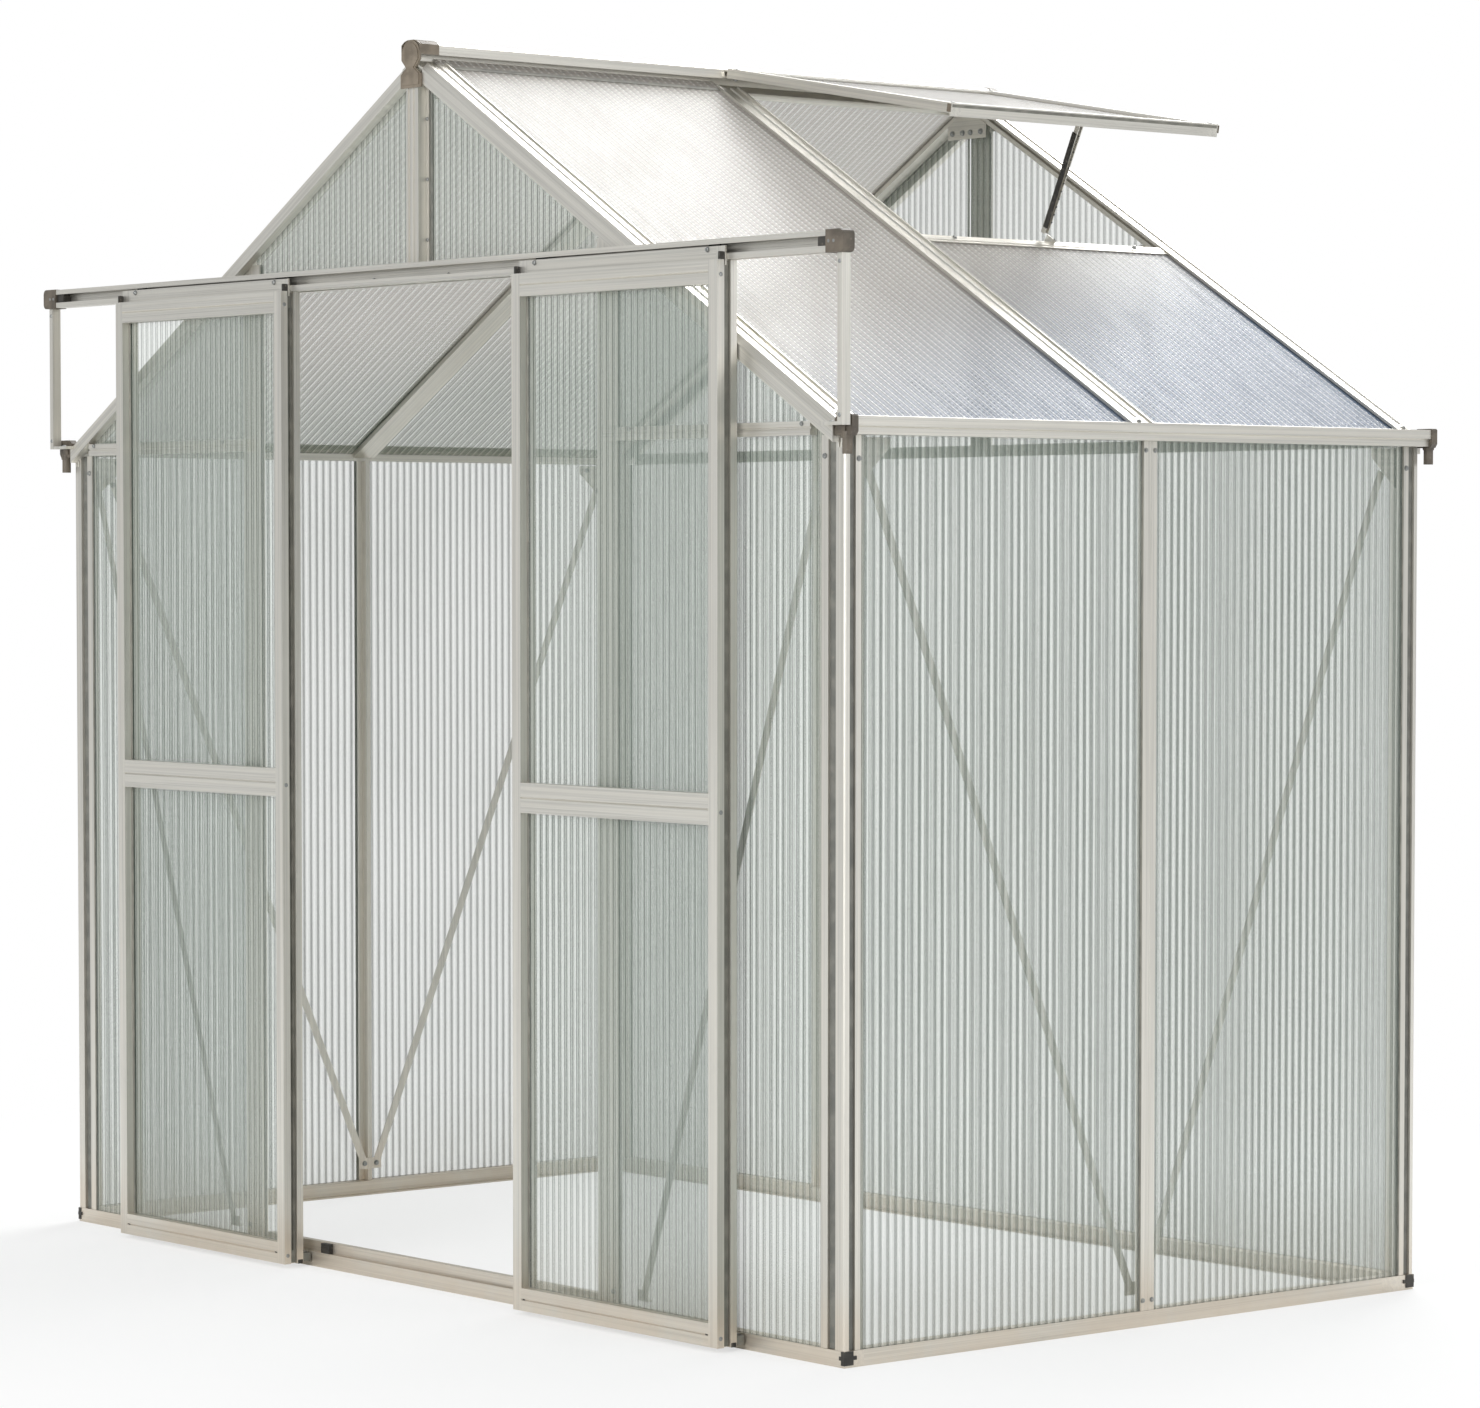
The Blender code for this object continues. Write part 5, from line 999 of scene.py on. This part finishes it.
def make_vent_sill_details():
    """Bolts of the sill below the vent, and the peg that takes the stay."""
    bolts = bmesh.new()
    peg = bmesh.new()
    for y in (0.12, 0.52):
        add_nut(bolts, roof_point("right", 0.5505, 0.013, y), roof_up("right"), 0.7)
    for along, rise in ((0.5395, 0.0150), (0.5480, 0.0165)):
        spot = roof_point("right", along, rise, STAY_HINGE.y) + Y * 0.0077
        add_nut(bolts, spot, (0, 1, 0), 0.6)
    spot = roof_point("right", 0.5335, 0.0148, STAY_HINGE.y) + Y * 0.0058
    add_round(peg, spot, (0, -1, 0), 0.0030, 0.0024, 0.0010, 16)
    finish_piece("vent_sill_bolts", bolts, "house", steel)
    finish_piece("vent_sill_peg", peg, "house", pale)


make_base_connectors()
make_frame_bolts()
make_gusset_plates()
make_front_braces()
make_lower_roof_trims()
make_rafter_feet()
make_sheet_seals()
make_groove_shade_strips()
make_ridge_seals_and_shade()
make_ridge_joint_plates()
make_threshold_stops()
make_ridge_cap_screws()
make_gutter_details()
make_rail_details()
for side, x_out in SIDES.items():
    make_door_details(side, x_out)
make_stay_shade_strip()
make_vent_details()
make_vent_sill_details()


# Floor, light and camera

FLOOR_HALF = 30
WORLD_LIGHT = 0.6
LAMP_SIZE = 4.0

# The floor turns white between these distances from the middle; this much of it is white anyway
FADE_FROM = 1.15
FADE_TO = 2.5
FADE_LEAST = 0.6


def seen_white(graph, plain, reach):
    """A shader that the camera sees as white, as far as reach says; light still gets plain."""
    white = graph.node("ShaderNodeEmission", {}, (1, 1, 1, 1), 1.0)
    seen = 0.0
    for ray in ("Is Camera Ray", "Is Transmission Ray"):
        seen = seen + graph.node("ShaderNodeLightPath", {}, output=ray)
    return graph.node("ShaderNodeMixShader", {}, (seen > 0.5) * reach, plain, white)


def stage_floor():
    """A pale floor that takes soft shadows and fades to white away from the greenhouse."""
    f = Finish("studio_floor")
    f.give(Base_Color=tone(250, 250, 249), Roughness=0.9, Specular_IOR_Level=0.1)
    here = f.node("ShaderNodeTexCoord", {}, output="Object")
    away = f.node("ShaderNodeVectorMath", {"operation": "LENGTH"}, here, output="Value")
    plain = Wire(f, f.shader.outputs[0])
    white = away.ramp(FADE_FROM, FADE_TO) * (1 - FADE_LEAST) + FADE_LEAST
    f.feed(f.out.inputs[0], seen_white(f, plain, white))
    bm = bmesh.new()
    bmesh.ops.create_grid(bm, x_segments=1, y_segments=1, size=FLOOR_HALF)
    mesh = bpy.data.meshes.new("studio_floor")
    bm.to_mesh(mesh)
    bm.free()
    mesh.materials.append(f.material)
    floor = bpy.data.objects.new("studio_floor", mesh)
    bpy.context.scene.collection.objects.link(floor)


def stage_world():
    """Soft light from all round, with white behind the greenhouse."""
    world = bpy.data.worlds.new("studio")
    world.use_nodes = True
    sky = Graph(world.node_tree)
    plain = sky.node("ShaderNodeBackground", {}, (0.96, 0.98, 1, 1), WORLD_LIGHT)
    sky.feed(sky.tree.nodes["World Output"].inputs[0], seen_white(sky, plain, 1.0))
    bpy.context.scene.world = world


def add_lamp(name, spot, power):
    """A round lamp that faces the middle of the greenhouse."""
    data = bpy.data.lights.new(name, "AREA")
    data.shape = "DISK"
    data.size = LAMP_SIZE
    data.energy = power
    item = bpy.data.objects.new(name, data)
    turn = (MIDDLE - Vector(spot)).to_track_quat("-Z", "Y").to_matrix().to_4x4()
    item.matrix_world = Matrix.Translation(spot) @ turn
    bpy.context.scene.collection.objects.link(item)


def stage_camera():
    """The camera of the photograph, solved from its points."""
    data = bpy.data.cameras.new("photo_view")
    data.sensor_width = 36
    data.lens = 119.12
    data.shift_x = -0.0191
    data.shift_y = 0.0552
    data.clip_end = 200
    item = bpy.data.objects.new("photo_view", data)
    item.location = (6.3055, -5.1658, 1.1634)
    item.rotation_euler = (math.radians(87.341), math.radians(-0.03), math.radians(49.942))
    bpy.context.scene.collection.objects.link(item)
    bpy.context.scene.camera = item


stage_floor()
stage_world()
add_lamp("key_light", (-2.2, 4.2, 6.2), 330)
add_lamp("front_fill", (1.5, -7.0, 3.2), 240)
add_lamp("side_fill", (7.5, 1.0, 3.0), 130)
stage_camera()
bpy.context.scene.view_settings.view_transform = "Standard"
